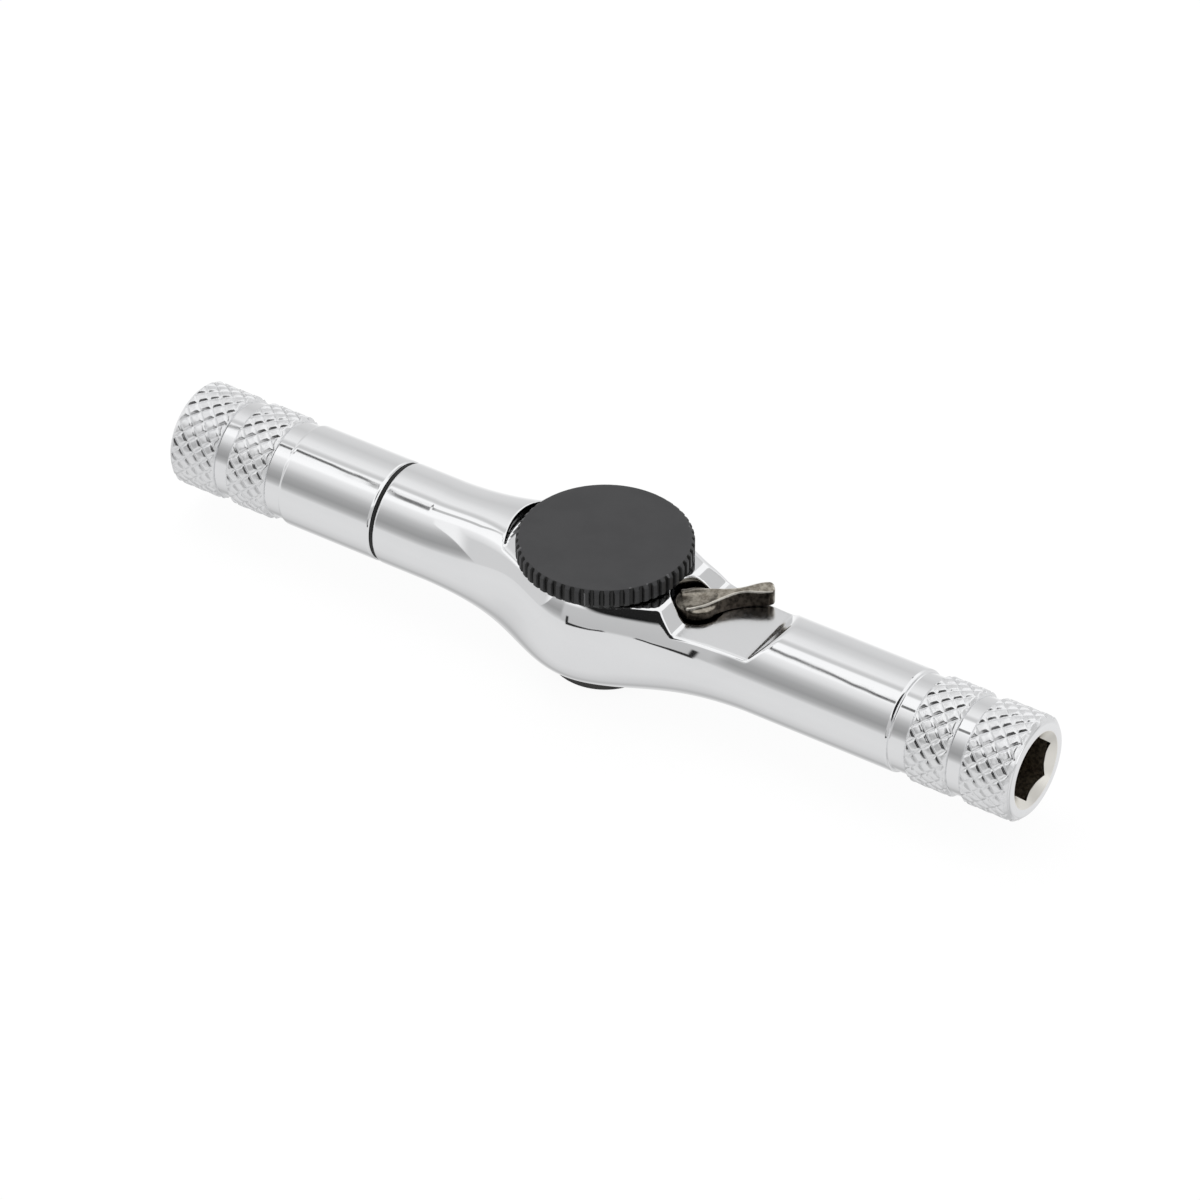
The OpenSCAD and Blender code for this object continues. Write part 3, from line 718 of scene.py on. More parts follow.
def net_faces(inside, index):
    """One four-sided face for each grid edge that the skin crosses, facing outwards."""
    faces = []
    for axis in range(3):
        side = np.moveaxis(inside, axis, 0)
        number = np.moveaxis(index, axis, 0)
        low = side[:-1, 1:-1, 1:-1]
        high = side[1:, 1:-1, 1:-1]
        i, j, k = np.nonzero(low != high)
        ring = [number[i, j, k], number[i, j + 1, k], number[i, j + 1, k + 1], number[i, j, k + 1]]
        ring = np.stack(ring, 1)
        flip = low[i, j, k] == (axis == 1)
        ring[flip] = ring[flip][:, ::-1]
        faces.append(ring)
    return np.concatenate(faces)


def slope(field, points, step=1e-3):
    """Gradient of the field at the points."""
    out = np.empty_like(points)
    for axis in range(3):
        shift = np.zeros(3)
        shift[axis] = step
        ahead = field(*(points + shift).T)
        behind = field(*(points - shift).T)
        out[:, axis] = (ahead - behind) / (2 * step)
    return out


def surface_net(field, axes, reach):
    """Points and faces of the field's skin, each point drawn onto it by a few Newton steps."""
    grid = np.meshgrid(*axes, indexing="ij", sparse=True)
    values = field(*grid)
    inside = values < 0
    count = sum(inside[i:inside.shape[0] - 1 + i, j:inside.shape[1] - 1 + j, k:inside.shape[2] - 1 + k]
                .astype(np.int8) for i, j, k in CORNERS)
    cells = np.nonzero((count > 0) & (count < 8))
    index = np.full(count.shape, -1)
    index[cells] = np.arange(len(cells[0]))
    points = edge_points(values, cells, axes)
    for _ in range(4):
        lean = slope(field, points)
        size = np.maximum((lean * lean).sum(1), 1e-6)
        move = -(field(*points.T) / size)[:, None] * lean
        length = np.linalg.norm(move, axis=1)
        move *= np.minimum(1, reach / np.maximum(length, 1e-9))[:, None]
        points += move
    return points, net_faces(inside, index)


def new_piece(name, points, faces, finish):
    """A smooth mesh piece from points in millimetres above the arms' axis."""
    mesh = bpy.data.meshes.new(name)
    rings = faces.tolist() if isinstance(faces, np.ndarray) else faces
    mesh.from_pydata(((np.asarray(points) + (0, 0, AXIS_Z)) * MM).tolist(), [], rings)
    mesh.materials.append(FINISHES[finish])
    mesh.shade_smooth()
    return in_scene(name, mesh)


print("a cell has", len(CORNERS), "corners and", len(EDGES), "edges")

# %% [markdown]
# ## The forging
# Each section of the head is a superellipse that grows out of the round arm, and the top is milled: a seat
# and a round recess for the disc, a ramp down to the lever's pad, a bevel on each side of the ramp, and a
# round pocket under the lever. The milled edges are rounded by polishing, and chrome shows each as a thin
# bright line.
# %% Skin of the forging
HEAD_REACH = 20.2
WIDTH_REACH = 26.6
WIDTH_POWER = 6.8
DEPTH_POWER = 1.5
HEAD_DEPTH = 7.5
HEAD_CREST = 7.6
HEAD_SQUARE = 2.8
BEVEL_DIST = 9.85
BEVEL_AZIMUTH = math.radians(58.8)
BEVEL_TILT = math.radians(52.9)
EDGE = 0.34
FINE_EDGE = 0.22


def bulge(x, reach, power):
    """1 in the middle of the head, 0 at its reach."""
    return np.cos(np.pi / 2 * np.minimum(1, np.abs(x) / reach)) ** power


def forging(x, y, z):
    """The unmilled forging with its two arms."""
    wide = bulge(x, WIDTH_REACH, WIDTH_POWER)
    tall = bulge(x, HEAD_REACH, DEPTH_POWER)
    width = ARM_R + (HEAD_HALF - ARM_R) * wide
    height = ARM_R + (np.where(z > 0, HEAD_CREST, HEAD_DEPTH) - ARM_R) * tall
    power = 2 + (HEAD_SQUARE - 2) * wide
    ratio = ((np.abs(y) / width) ** power + (np.abs(z) / height) ** power) ** (1 / power)
    return (ratio - 1) * np.minimum(width, height)


def top_profile(x, z):
    """Field of everything below the milled top, seen from the front."""
    drop = SEAT_Z - PAD_Z
    run = PAD_START - SEAT_END
    ramp = ((x - SEAT_END) * drop + (z - SEAT_Z) * run) / math.hypot(drop, run)
    rise = (z - PAD_Z - (x - PAD_END)) / math.sqrt(2)
    step = soft_max(z - SEAT_Z, ramp, EDGE)
    return soft_min(soft_min(step, z - PAD_Z, FINE_EDGE), rise, FINE_EDGE)


def bevel(x, y, z, side):
    """Field of the milled bevel beside the ramp, negative where metal is cut away."""
    level = math.cos(BEVEL_TILT)
    along = level * math.cos(BEVEL_AZIMUTH) * x + level * math.sin(BEVEL_AZIMUTH) * side * y
    above = BEVEL_DIST - along - math.sin(BEVEL_TILT) * z
    return np.maximum(np.maximum(above, PAD_Z - z), np.maximum(-x, x - PAD_START))


def body_skin(x, y, z):
    """Field of the body's outside, in millimetres, negative in the metal."""
    field = forging(x, y, z)
    recess = soft_max(np.hypot(x, y) - RECESS_R, SEAT_Z - z, FINE_EDGE)
    milled = np.maximum(-top_profile(x, z), -x)
    field = soft_max(field, -np.minimum(milled, recess), EDGE)
    for side in (-1, 1):
        field = soft_max(field, -bevel(x, y, z, side), FINE_EDGE)
    pocket = soft_max(np.hypot(x - LEVER_X, y) - LEVER_POCKET_R, PAD_Z - z, FINE_EDGE)
    field = soft_max(field, -pocket, FINE_EDGE)
    field = soft_max(field, STUB_X - x, EDGE)
    return soft_max(field, x - SMOOTH_END, EDGE)


def spans(*marks):
    """Grid lines from (start, step) marks, each step used up to the next mark."""
    lines = []
    for (start, step), (end, _) in zip(marks, marks[1:]):
        count = max(1, round((end - start) / step))
        lines.append(np.linspace(start, end, count, endpoint=False))
    lines.append(np.array([marks[-1][0]]))
    return np.concatenate(lines)


CELL = 0.21
body_axes = (
    spans((STUB_X - 0.3, 0.15), (STUB_X + 0.9, 0.6), (-23, CELL), (23.4, 0.7), (SMOOTH_END - 0.9, 0.15),
          (SMOOTH_END + 0.3, 1)),
    spans((-HEAD_HALF - 0.4, CELL), (HEAD_HALF + 0.4, 1)),
    spans((-HEAD_DEPTH - 0.4, CELL), (HEAD_CREST + 0.2, 1)),
)
skin_points, skin_faces = surface_net(body_skin, body_axes, CELL)
head = new_piece("forged_body", skin_points, skin_faces, "chrome")
print("forging:", len(skin_points), "points,", len(skin_faces), "faces")

# %% [markdown]
# ## Turned parts
# The handle ends and the disc are turned on a lathe, so their meshes are too: a profile with small rounds
# at its corners is swept round an axis. The first and last point of a profile lie on the axis and level
# with their neighbours, so one flat face closes each end.
# %% Lathe helpers


GUARD = 0.1


def guarded(points):
    """Adds a point close to each end of every long stretch, so that its shading stays straight."""
    out = [points[0]]
    for n, (a, b) in enumerate(zip(points, points[1:])):
        length = np.linalg.norm(b - a)
        if length > 4 * GUARD and 0 < n < len(points) - 2:
            out.extend((a + (b - a) * GUARD / length, b - (b - a) * GUARD / length))
        out.append(b)
    return np.array(out)


def rounded(corners, steps=3):
    """A profile whose corners, given as (along, radius, round), become short curves."""
    points = []
    for n, (along, radius, size) in enumerate(corners):
        here = np.array((along, radius))
        if size == 0 or n in (0, len(corners) - 1):
            points.append(here)
            continue
        ends = []
        for other in (corners[n - 1], corners[n + 1]):
            gap = np.array(other[:2]) - here
            ends.append(here + gap / np.linalg.norm(gap) * min(size, np.linalg.norm(gap) * 0.49))
        for s in np.linspace(0, 1, steps + 1):
            points.append(ends[0] * (1 - s) ** 2 + here * 2 * s * (1 - s) + ends[1] * s * s)
    return guarded(points)


def turned(profile, sides):
    """Points (along, a, b) and faces of a profile swept round the first axis and closed at both ends."""
    angles = np.arange(sides) * 2 * np.pi / sides
    rings = profile[1:-1]
    points = []
    for along, radius in rings:
        points.extend((along, radius * math.cos(a), radius * math.sin(a)) for a in angles)
    tail = (len(rings) - 1) * sides
    faces = [tuple(range(sides - 1, -1, -1)), tuple(range(tail, tail + sides))]
    for start in range(0, tail, sides):
        for i in range(sides):
            j = (i + 1) % sides
            faces.append((start + i, start + j, start + sides + j, start + sides + i))
    return np.array(points), faces


def upright(points):
    """Turns a lathe's axis from X to Z."""
    return points[:, [1, 2, 0]]


def mirrored(points, faces):
    """The same piece on the other side of the head."""
    return points * (-1, 1, 1), [face[::-1] for face in faces]


def upright_tool(corners, sides, x=0):
    """A turned cutter that stands upright over a place on the arms' axis."""
    points, faces = turned(rounded(corners), sides)
    return new_piece("tool", upright(points) + (x, 0, 0), faces, "chrome")


def prism(corner_r, sides, start, end, turn):
    """A solid bar with flat sides along X, used to cut a socket or as a shank."""
    profile = np.array([(start, 0), (start, corner_r), (end, corner_r), (end, 0)])
    points, faces = turned(profile, sides)
    c, s = math.cos(turn), math.sin(turn)
    spun = points @ np.array([(1, 0, 0), (0, c, s), (0, -s, c)])
    return new_piece("tool", spun, faces, "chrome")


def applied(piece):
    """The piece with its modifiers made part of its mesh."""
    view = bpy.context.evaluated_depsgraph_get()
    mesh = bpy.data.meshes.new_from_object(piece.evaluated_get(view))
    piece.modifiers.clear()
    piece.data = mesh
    return piece


def combine(piece, tool, operation):
    """Cuts the tool from the piece or adds it, and removes the tool."""
    step = piece.modifiers.new("combine", "BOOLEAN")
    step.operation = operation
    step.solver = "EXACT"
    step.object = tool
    applied(piece)
    bpy.data.objects.remove(tool)
    return piece


def crisp(piece, degrees=32):
    """Smooth shading with hard lines kept where faces meet steeply."""
    piece.data.shade_smooth()
    piece.data.set_sharp_from_angle(angle=math.radians(degrees))
    return piece


print("guard points stand", GUARD, "mm from the ends of each stretch")

# %% [markdown]
# ## Handle ends
# Both arms end alike: a short neck, two knurled bands with a groove between them, and a flat end face with
# a bright cone that leads into a hex socket. The core is turned, the socket is cut into it, and the knurl
# comes as sleeves in a later step.
# %% Handle core
NECK_R = 5.4
KNURL_R = 5.85
BAND_END = 45.3
END_BAND_START = 46.9
END_CHAMFER = 0.6
SLEEVE_END = REACH - 0.16
SOCKET_DEPTH = 12.0
SOCKET_TURN = math.radians(15)
MAGNET_R = 2.82
MAGNET_T = 2.1


def handle_profile(start, arm_round):
    """Profile of an arm from start to its end face; the bands stand a little low, under their sleeves."""
    low = NECK_R - 0.02
    return rounded([
        (start, 0, 0), (start, ARM_R, arm_round),
        (SMOOTH_END, ARM_R, 0.3), (SMOOTH_END + 0.05, NECK_R, 0.1), (BAND_START, NECK_R, 0),
        (BAND_START + 0.1, low, 0), (BAND_END - 0.1, low, 0), (BAND_END, NECK_R, 0),
        (END_BAND_START, NECK_R, 0), (END_BAND_START + 0.1, low, 0), (SLEEVE_END - 0.1, low, 0),
        (SLEEVE_END, KNURL_R - END_CHAMFER + REACH - SLEEVE_END, 0),
        (REACH, KNURL_R - END_CHAMFER - 0.02, 0.14), (REACH, 0, 0),
    ])


def cut_socket(piece, side):
    """Cuts the hex, the cone at its mouth and the magnet's bore into one end."""
    depth = REACH - SOCKET_DEPTH
    tools = [prism(SOCKET_CORNER_R, 6, depth, REACH + 1, SOCKET_TURN)]
    cone = rounded([(REACH - MOUTH_DEPTH, 0, 0), (REACH - MOUTH_DEPTH, MOUTH_INNER_R, 0),
                    (REACH, MOUTH_R, 0), (REACH + 0.5, MOUTH_R + 0.1, 0), (REACH + 0.5, 0, 0)])
    tools.append(new_piece("tool", *turned(cone, 96), "chrome"))
    tools.append(prism(MAGNET_R, 48, depth - MAGNET_T, depth + 0.1, 0))
    for tool in tools:
        if side < 0:
            tool.data.transform(Matrix.Scale(-1, 4, (1, 0, 0)))
            tool.data.flip_normals()
        combine(piece, tool, "DIFFERENCE")
    return piece


SIDES = 160
core_profile = handle_profile(SMOOTH_END - 1.5, 0.0)
right_core = new_piece("right_core", *turned(core_profile, SIDES), "chrome")
print("core profile:", len(core_profile), "points")

# %% [markdown]
# ## Joining the body
# The skin, the turned end and the cavities are joined with exact booleans. A boolean leaves small slivers
# where it cuts, and their shading would show in a mirror finish. So the skin's own slope is written back as
# the normals of every point that still lies on it.
# %% Works, sockets and normals
DRUM_R = 5.9
RUN_FIT = 0.05
CHAMBER_R = 6.6
CHAMBER_FLOOR = -4.6
COVER_R = 6.9
COVER_Z = 3.2
SHAFT_R = 1.45
SHAFT_FOOT = -4.3
STUB_DEPTH = 14.6


def read(items, key, width=1, kind=float):
    """One value of every item in an array, or one row of values for each."""
    values = np.empty(len(items) * width, dtype=kind)
    items.foreach_get(key, values)
    return values.reshape(-1, width) if width > 1 else values


def true_normals(piece, field, near=2e-3, flat=0.05):
    """Gives each face corner on the field's skin the field's own slope as its normal."""
    mesh = crisp(piece).data
    middle = (0, 0, AXIS_Z)
    points = read(mesh.vertices, "co", 3) / MM - middle
    centres = read(mesh.polygons, "center", 3) / MM - middle
    on_skin = np.abs(field(*points.T)) < near
    face_on = np.abs(field(*centres.T)) < flat
    lean = slope(field, points)
    lean /= np.maximum(np.linalg.norm(lean, axis=1), 1e-9)[:, None]
    corners = read(mesh.corner_normals, "vector", 3)
    vertex = read(mesh.loops, "vertex_index", kind=int)
    totals = read(mesh.polygons, "loop_total", kind=int)
    face = np.repeat(np.arange(len(totals)), totals)
    use = on_skin[vertex] & face_on[face] & ((lean[vertex] * corners).sum(1) > 0.5)
    corners[use] = lean[vertex[use]]
    mesh.normals_split_custom_set(corners.tolist())
    return int(use.sum()), len(use)


combine(head, right_core, "UNION")
works = [
    (-HEAD_DEPTH - 1, 0, 0), (-HEAD_DEPTH - 1, DRUM_R + RUN_FIT, 0), (CHAMBER_FLOOR, DRUM_R + RUN_FIT, 0),
    (CHAMBER_FLOOR, CHAMBER_R, 0), (COVER_Z, CHAMBER_R, 0), (COVER_Z, COVER_R, 0),
    (SEAT_Z + 1, COVER_R, 0), (SEAT_Z + 1, 0, 0),
]
combine(head, upright_tool(works, 120), "DIFFERENCE")
shaft = [(SHAFT_FOOT, 0, 0), (SHAFT_FOOT, SHAFT_R, 0), (PAD_Z + 3, SHAFT_R, 0), (PAD_Z + 3, 0, 0)]
combine(head, upright_tool(shaft, 48, LEVER_X), "DIFFERENCE")
stub_hex = prism(SOCKET_CORNER_R, 6, STUB_X - 1, STUB_X + STUB_DEPTH, SOCKET_TURN)
combine(head, stub_hex, "DIFFERENCE")
cut_socket(head, 1)
print("corners with the skin's slope:", true_normals(head, body_skin))
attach(head, "frame")
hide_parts("body")

# %% [markdown]
# ## Pull-out extension
# The left arm is a separate turned piece. Its hex shank sits in the stub of the forging, a spring clip
# holds it there, and an O-ring fills the thin joint line between the two.
# %% Extension
SEAM_GAP = 0.4
SHANK_CORNER_R = 6.35 / 2 / math.cos(math.radians(30))
SHANK_LEN = 14.0
COLLAR_R = 4.33
seam_x = -STUB_X + SEAM_GAP
grip_points, grip_faces = mirrored(*turned(handle_profile(seam_x, EDGE), SIDES))
extension = new_piece("extension_arm", grip_points, grip_faces, "chrome")
collar = rounded([(STUB_X - SEAM_GAP - 0.5, 0, 0), (STUB_X - SEAM_GAP - 0.5, COLLAR_R, 0),
                  (STUB_X - 0.05, COLLAR_R, 0.05), (STUB_X - 0.05, 0, 0)])
combine(extension, new_piece("tool", *turned(collar, 96), "chrome"), "UNION")
shank = prism(SHANK_CORNER_R, 6, STUB_X - SEAM_GAP - 0.3, STUB_X + SHANK_LEN, SOCKET_TURN)
combine(extension, shank, "UNION")
cut_socket(extension, -1)
crisp(extension)
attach(extension, "extension")
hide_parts("handle_extension")
print("extension:", len(extension.data.polygons), "faces")

# %% [markdown]
# ## Knurl
# A knurl is two families of V grooves that wind round the handle in opposite directions and leave rows of
# small diamonds. It is pure rule, so Geometry Nodes make it: a flat grid is rolled into a closed sleeve,
# and a formula sinks each point where it is near a groove. The sleeve's rim is limited by a chamfer.
# %% Knurl tree
HELICES = 20
KNURL_DEPTH = 0.155
GROOVE_HALF = 0.24
PILLOW = 0.05
GROOVE_POWER = 0.8
SLEEVE_R = 5.2
BAND_CHAMFER = 0.35
# Points nearer than this, in metres, become one, which closes the sleeve's seam.
TOUCHING = 2e-6


def begin_tree(name, lengths, counts):
    """A geometry tree with named inputs, which come back as terms."""
    tree = bpy.data.node_groups.new(name, "GeometryNodeTree")
    kinds = {"Geometry": "Geometry", **dict.fromkeys(lengths, "Float"), **dict.fromkeys(counts, "Int"),
             "Finish": "Material"}
    for key, kind in kinds.items():
        tree.interface.new_socket(key, in_out="INPUT", socket_type="NodeSocket" + kind)
    tree.interface.new_socket("Geometry", in_out="OUTPUT", socket_type="NodeSocketGeometry")
    given = new_node(tree, "NodeGroupInput")
    return tree, {key: Term(tree, given.outputs[key]) for key in kinds}


def point_place(tree):
    """Each point's place, as three terms."""
    return split(tree, new_node(tree, "GeometryNodeInputPosition").outputs[0])


def moved_to(tree, mesh, x, y, z):
    """The mesh with its points moved to new places."""
    spot = new_node(tree, "ShaderNodeCombineXYZ", X=x, Y=y, Z=z)
    return new_node(tree, "GeometryNodeSetPosition", Geometry=mesh, Position=spot.outputs[0]).outputs[0]


def end_tree(tree, given, mesh):
    """Makes everything in the mesh real and gives it the finish."""
    real = new_node(tree, "GeometryNodeRealizeInstances", Geometry=mesh)
    finished = new_node(tree, "GeometryNodeSetMaterial", Geometry=real.outputs[0], Material=given["Finish"])
    new_node(tree, "NodeGroupOutput", Geometry=finished.outputs[0])


def make_knurl_tree():
    """Rolls a grid into a sleeve round X with two crossing families of grooves."""
    lengths = ("Start", "Length", "Crest Radius", "Inner Radius", "Depth", "Pillow", "Groove Half Width",
               "Start Chamfer", "End Chamfer", "Low Radius")
    tree, given = begin_tree("knurled_sleeve", lengths, ("Rows", "Columns", "Helices"))
    grid = new_node(tree, "GeometryNodeMeshGrid", Size_X=1.0, Size_Y=1.0,
                    Vertices_X=given["Rows"], Vertices_Y=given["Columns"])
    flat_x, flat_y, _ = point_place(tree)
    # Two rows at the start and one at the end are kept for the sleeve's ends and its inner wall.
    rows = given["Rows"] - 1
    row = (flat_x + 0.5) * rows
    along = ((row - 1) / (rows - 3)).op("MINIMUM", 1.0).op("MAXIMUM", 0.0)
    start = given["Start"]
    end = start + given["Length"]
    full = given["Crest Radius"]
    x = start + along * given["Length"]
    angle = (flat_y + 0.5) * (2 * math.pi)
    turns = angle * given["Helices"] / (2 * math.pi)
    pitch = full * (2 * math.pi) / given["Helices"]
    climb = x / pitch
    groove = None
    dome = None
    for family in (turns + climb, turns - climb):
        from_middle = (family.op("FRACT") - 0.5).op("ABSOLUTE")
        gap = (-from_middle + 0.5) * pitch * math.sqrt(0.5)
        near = (gap / given["Groove Half Width"]).inverse().op("MAXIMUM", 0.0)
        fall = from_middle * from_middle * 4
        groove = near if groove is None else groove.op("MAXIMUM", near)
        dome = fall if dome is None else dome + fall
    crest = full - groove.op("POWER", GROOVE_POWER) * given["Depth"] - dome * given["Pillow"]
    from_start = (x - start) + full - given["Start Chamfer"]
    from_end = (end - x) + full - given["End Chamfer"]
    radius = crest.op("MINIMUM", from_start).op("MINIMUM", from_end).op("MAXIMUM", given["Low Radius"])
    inside = row.op("LESS_THAN", 0.5).op("MAXIMUM", row.op("GREATER_THAN", rows - 1.5))
    radius = radius + inside * (given["Inner Radius"] - radius)
    # The last row returns to the first, which closes the inner wall.
    x = x + row.op("GREATER_THAN", rows - 0.5) * (start - x)
    y, z = radius * angle.op("COSINE"), radius * angle.op("SINE")
    rolled = moved_to(tree, grid.outputs["Mesh"], x, y, z)
    closed = new_node(tree, "GeometryNodeMergeByDistance", Geometry=rolled, Distance=TOUCHING)
    end_tree(tree, given, closed.outputs[0])
    return tree


def from_tree(name, tree, lengths, counts, finish, base=None):
    """A plain mesh piece made by a geometry tree, its inputs set by the sockets' identifiers."""
    values = {key: length * MM for key, length in lengths.items()}
    values.update(counts, Finish=finish)
    piece = in_scene(name, base or bpy.data.meshes.new(name))
    step = piece.modifiers.new("tree", "NODES")
    step.node_group = tree
    for item in tree.interface.items_tree:
        if item.in_out == "INPUT" and item.name in values:
            step[item.identifier] = values[item.name]
    piece.update_tag()
    return applied(piece)


KNURL_TREE = make_knurl_tree()
STEPS_PER_DIAMOND = 28
columns = HELICES * STEPS_PER_DIAMOND
print("knurl tree:", len(KNURL_TREE.nodes), "nodes,", columns, "columns")

# %% Knurled sleeves


def knurl_band(name, side, start, end, chamfers):
    """One band of knurl; side is 1 on the right arm and -1 on the left."""
    length = end - start
    rows = round(length * columns / (2 * math.pi * KNURL_R)) + 4
    lengths = {
        "Start": start, "Length": length, "Crest Radius": KNURL_R, "Inner Radius": SLEEVE_R,
        "Depth": KNURL_DEPTH, "Pillow": PILLOW, "Groove Half Width": GROOVE_HALF,
        "Start Chamfer": chamfers[0], "End Chamfer": chamfers[1], "Low Radius": NECK_R - 0.05,
    }
    counts = {"Rows": rows, "Columns": columns + 1, "Helices": HELICES}
    piece = from_tree(name, KNURL_TREE, lengths, counts, KNURL_CHROME)
    mesh = piece.data
    place = Matrix.Translation((0, 0, AXIS_Z * MM)) @ Matrix.Scale(side, 4, (1, 0, 0))
    mesh.transform(place)
    shell = bmesh.new()
    shell.from_mesh(mesh)
    bmesh.ops.recalc_face_normals(shell, faces=shell.faces)
    shell.to_mesh(mesh)
    shell.free()
    return crisp(piece, 50)


ARMS = [("right", 1, "frame", "body"), ("left", -1, "extension", "handle_extension")]
rim = END_CHAMFER + SLEEVE_END - REACH
for word, side, body, node in ARMS:
    inner = knurl_band(f"{word}_inner_knurl", side, BAND_START, BAND_END, (BAND_CHAMFER, BAND_CHAMFER))
    outer = knurl_band(f"{word}_outer_knurl", side, END_BAND_START, SLEEVE_END, (BAND_CHAMFER, rim))
    for band in (inner, outer):
        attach(band, body)
        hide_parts(node)
        print(band.name, len(band.data.polygons), "faces")

# %% [markdown]
# ## Thumb disc
# The disc under the thumb is turned, fluted round its edge and coated satin black. A turned blank goes into
# a small tree that presses the flutes into its rim, so the rule and the blank stay apart. The top is bare.
# %% Disc
DISC_LOW = disc_low[2] - AXIS_Z
DISC_TOP = disc_high[2] - AXIS_Z
FLUTES = 55
FLUTE_DEPTH = 0.32
STEPS_PER_FLUTE = 14


def make_flute_tree():
    """Cuts flutes into the rim of a turned blank whose axis is Z."""
    tree, given = begin_tree("fluted_rim", ("Rim Radius", "Depth"), ("Flutes",))
    x, y, z = point_place(tree)
    radius = distance(x, y)
    angle = y.op("ARCTAN2", x)
    wave = (angle * given["Flutes"]).op("COSINE") * 0.5 + 0.5
    press = smooth_step(wave, 0.42, 0.80)
    limit = given["Rim Radius"] - press * given["Depth"]
    shrink = (limit / radius.op("MAXIMUM", 1e-6)).op("MINIMUM", 1.0)
    end_tree(tree, given, moved_to(tree, given["Geometry"], x * shrink, y * shrink, z))
    return tree


SPIGOT_R = 2.52
SPIGOT_DEPTH = 1.3
DISC_EDGE = 0.34
blank = rounded([
    (DISC_LOW + SPIGOT_DEPTH, 0, 0), (DISC_LOW + SPIGOT_DEPTH, SPIGOT_R, 0), (DISC_LOW, SPIGOT_R, 0),
    (DISC_LOW, DISC_R - 0.8, 0), (DISC_LOW, DISC_R - 0.2, 0.1), (DISC_LOW + 0.2, DISC_R, 0.1),
    (DISC_TOP - DISC_EDGE, DISC_R, 0.08), (DISC_TOP, DISC_R - DISC_EDGE, 0.08), (DISC_TOP, DISC_R - 0.8, 0),
    (DISC_TOP, 0, 0),
])
blank_points, blank_faces = turned(blank, FLUTES * STEPS_PER_FLUTE)
blank_piece = new_piece("blank", upright(blank_points), blank_faces, "disc_black")
disc = from_tree("thumb_disc", make_flute_tree(), {"Rim Radius": DISC_R, "Depth": FLUTE_DEPTH},
                 {"Flutes": FLUTES}, FINISHES["disc_black"], blank_piece.data)
bpy.data.objects.remove(blank_piece)
crisp(disc, 30)
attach(disc, "drive")
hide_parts("spinner_disc")
print("disc:", len(disc.data.polygons), "faces")

# %% [markdown]
# ## Reversing lever
# The lever is a small casting: a round base, a scooped wedge on it that narrows to a waist, and a thumb
# paddle. Its flanks slope, stand upright at the tip, and meet the top in two ridges, bright partly from
# wear and partly as a painted highlight.
# It is drawn as a field too, in its own frame with its axis at the origin and its arm along the first
# axis, and then turned to its rest angle over the pocket.
# %% Lever
LEVER_REST = math.radians(42)
LEVER_UNDER = PAD_Z + 0.1
LEVER_TOP = lever_high[2] - AXIS_Z
LEVER_TIP = 8.22
BASE_R = 2.35
BASE_TOP = 1.0
WEDGE_START = -1.5
# Marks along the arm: half its width at the top, half its width at the foot, and its height.
TOP_HALF = [(-2.2, 1.7), (-1.2, 1.72), (0, 1.56), (1, 1.32), (1.6, 1.15), (2.3, 0.91), (3.4, 0.58),
            (4.2, 0.43), (4.8, 0.41), (5.3, 0.47), (6.3, 0.72), (7.3, 0.87), (8.3, 0.84)]
FOOT_HALF = [(-2.2, 2.3), (-1, 2.4), (0, 2.25), (1, 1.95), (2.35, 1.31), (3, 1.08), (3.6, 0.92),
             (4.3, 0.83), (4.9, 0.76), (6.1, 0.84), (7.2, 0.94), (8.3, 0.92)]
CREST = [(-2.2, 1.25), (-1.2, 1.25), (0, 1.32), (1.2, 1.42), (2.3, 1.54), (3.4, 1.67), (4.2, 1.76),
         (5.3, 1.83), (6.3, 1.85), (8.3, 1.85)]
SCOOP_AT = (-0.5, -0.1)
SCOOP_REACH = (2.7, 1.35)
SCOOP_DEPTH = 0.34
TIP_ROUND = 0.7
TIP_FLAT = 0.25
RIDGE_ROUND = 0.12
STEM_R = 1.4
STEM_TOP = 0.5
STEM_FOOT = -3.2


def through(place, marks):
    """A smooth curve through (place, value) marks."""
    at, value = np.array(marks).T
    lean = np.gradient(value, at)
    n = np.clip(np.searchsorted(at, place) - 1, 0, len(at) - 2)
    span = at[n + 1] - at[n]
    u = np.clip((place - at[n]) / span, 0, 1)
    rise = value[n + 1] - value[n]
    first = lean[n] * span
    last = lean[n + 1] * span
    return value[n] + u * (first + u * (3 * rise - 2 * first - last + u * (first + last - 2 * rise)))


def arm_faces(x, y, z):
    """Fields of the arm's two flanks and of its scooped top."""
    h = z - LEVER_UNDER
    crest = through(x, CREST)
    foot = through(x, FOOT_HALF)
    lean = (foot - through(x, TOP_HALF)) / crest
    flank = (np.abs(y) - foot + lean * h) / np.sqrt(1 + lean * lean)
    along = ((x - SCOOP_AT[0]) / SCOOP_REACH[0]) ** 2
    across = ((y - SCOOP_AT[1]) / SCOOP_REACH[1]) ** 2
    dip = np.maximum(0, 1 - along - across)
    return flank, h - crest + SCOOP_DEPTH * dip * (2 - dip)


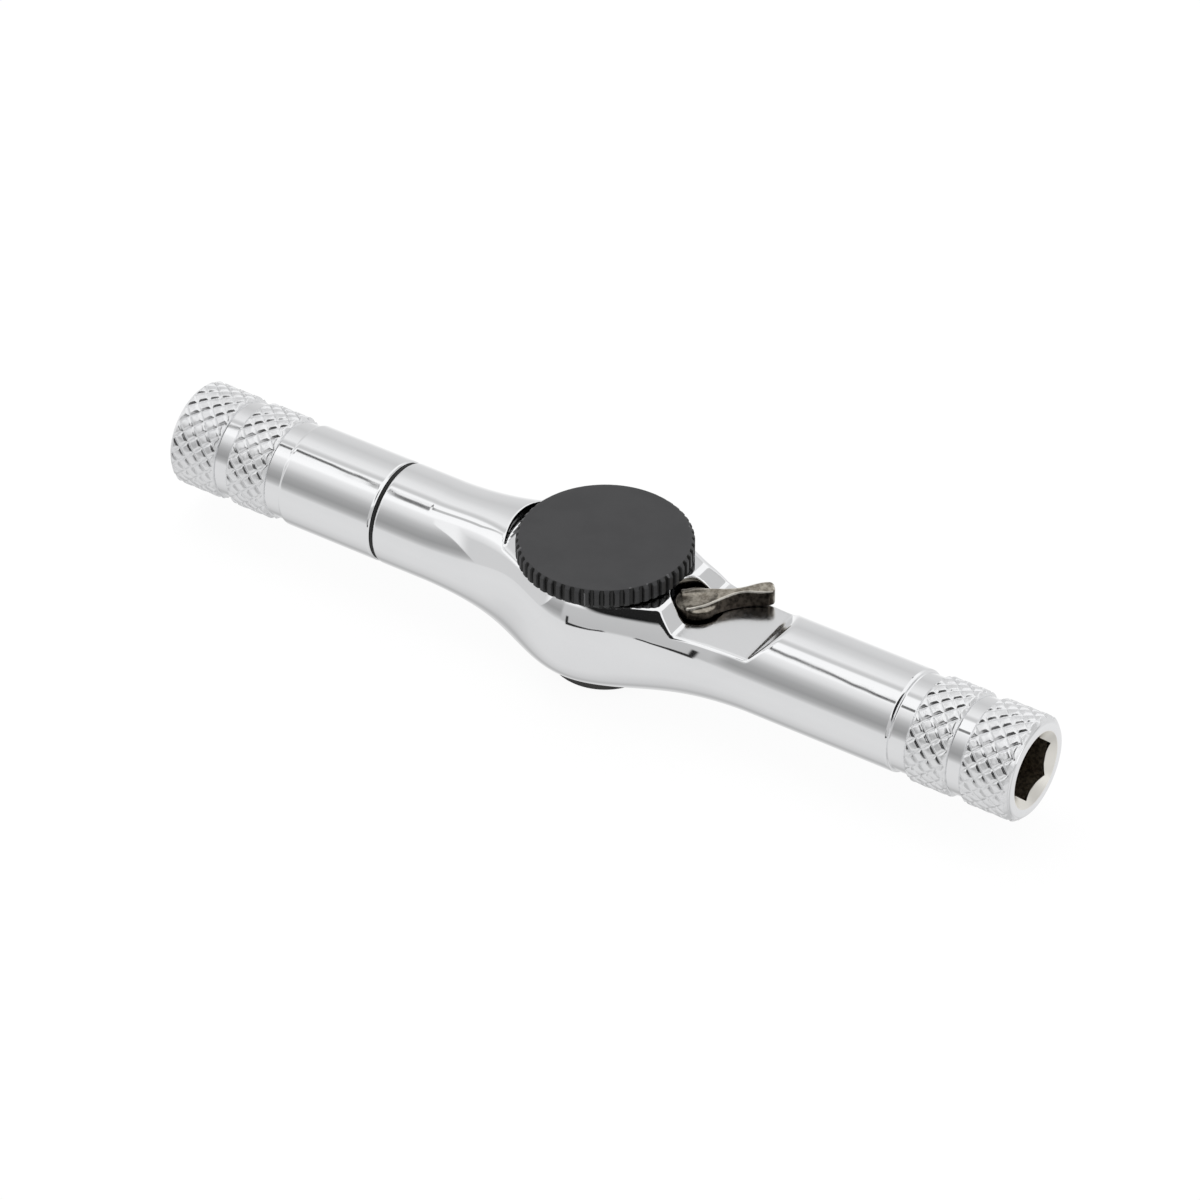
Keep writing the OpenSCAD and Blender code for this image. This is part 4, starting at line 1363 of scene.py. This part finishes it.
def lever_skin(x, y, z):
    """Field of the lever in its own frame; z is above the arms' axis."""
    h = z - LEVER_UNDER
    base = soft_max(np.hypot(x, y) - BASE_R, h - BASE_TOP, 0.4)
    arm = soft_max(*arm_faces(x, y, z), RIDGE_ROUND)
    past = x - LEVER_TIP + TIP_ROUND
    tip = np.hypot(past, np.maximum(np.abs(y) - TIP_FLAT, 0)) - TIP_ROUND
    arm = soft_max(arm, np.where(past > 0, tip, -1), 0.2)
    arm = soft_max(arm, WEDGE_START - x, 0.15)
    arm = soft_max(arm, np.hypot(np.minimum(x, 0), y) - BASE_R, 0.3)
    field = soft_max(soft_min(base, arm, 0.2), -h, 0.14)
    stem = soft_max(np.hypot(x, y) - STEM_R, h - STEM_TOP, 0.1)
    stem = soft_max(stem, STEM_FOOT - h, 0.2)
    return np.minimum(field, stem)


LEVER_CELL = 0.08
lever_axes = (
    spans((-3.1, LEVER_CELL), (8.8, 1)),
    spans((-3.1, LEVER_CELL), (3.1, 1)),
    spans((LEVER_UNDER - 3.6, LEVER_CELL), (LEVER_TOP + 0.4, 1)),
)
lever_points, lever_faces = surface_net(lever_skin, lever_axes, LEVER_CELL)
c, s = math.cos(LEVER_REST), math.sin(LEVER_REST)
placed = lever_points @ np.array([(c, s, 0), (-s, c, 0), (0, 0, 1)]) + (LEVER_X, 0, 0)
lever = new_piece("direction_lever", placed, lever_faces, "cast_lever")
# Thumbs rub the two ridges and the tip bare, and these places also carry a painted highlight, so each point
# keeps how near it is to one of them.
RIDGE_WEAR_AND_HIGHLIGHT = 0.26
TIP_WEAR_AND_HIGHLIGHT = 0.5
off_ridge = np.hypot(*arm_faces(*lever_points.T))
on_tip = np.clip(1 - (LEVER_TIP - lever_points[:, 0]) / TIP_WEAR_AND_HIGHLIGHT, 0, 1) * 0.6
ridge_wear_and_highlight = lever.data.attributes.new("ridge_wear_and_highlight", "FLOAT", "POINT")
ridge_wear_and_highlight.data.foreach_set("value", np.maximum(np.clip(1 - off_ridge / RIDGE_WEAR_AND_HIGHLIGHT, 0, 1), on_tip))
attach(lever, "lever")
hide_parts("reverse_lever")
print("lever:", len(lever_faces), "faces")
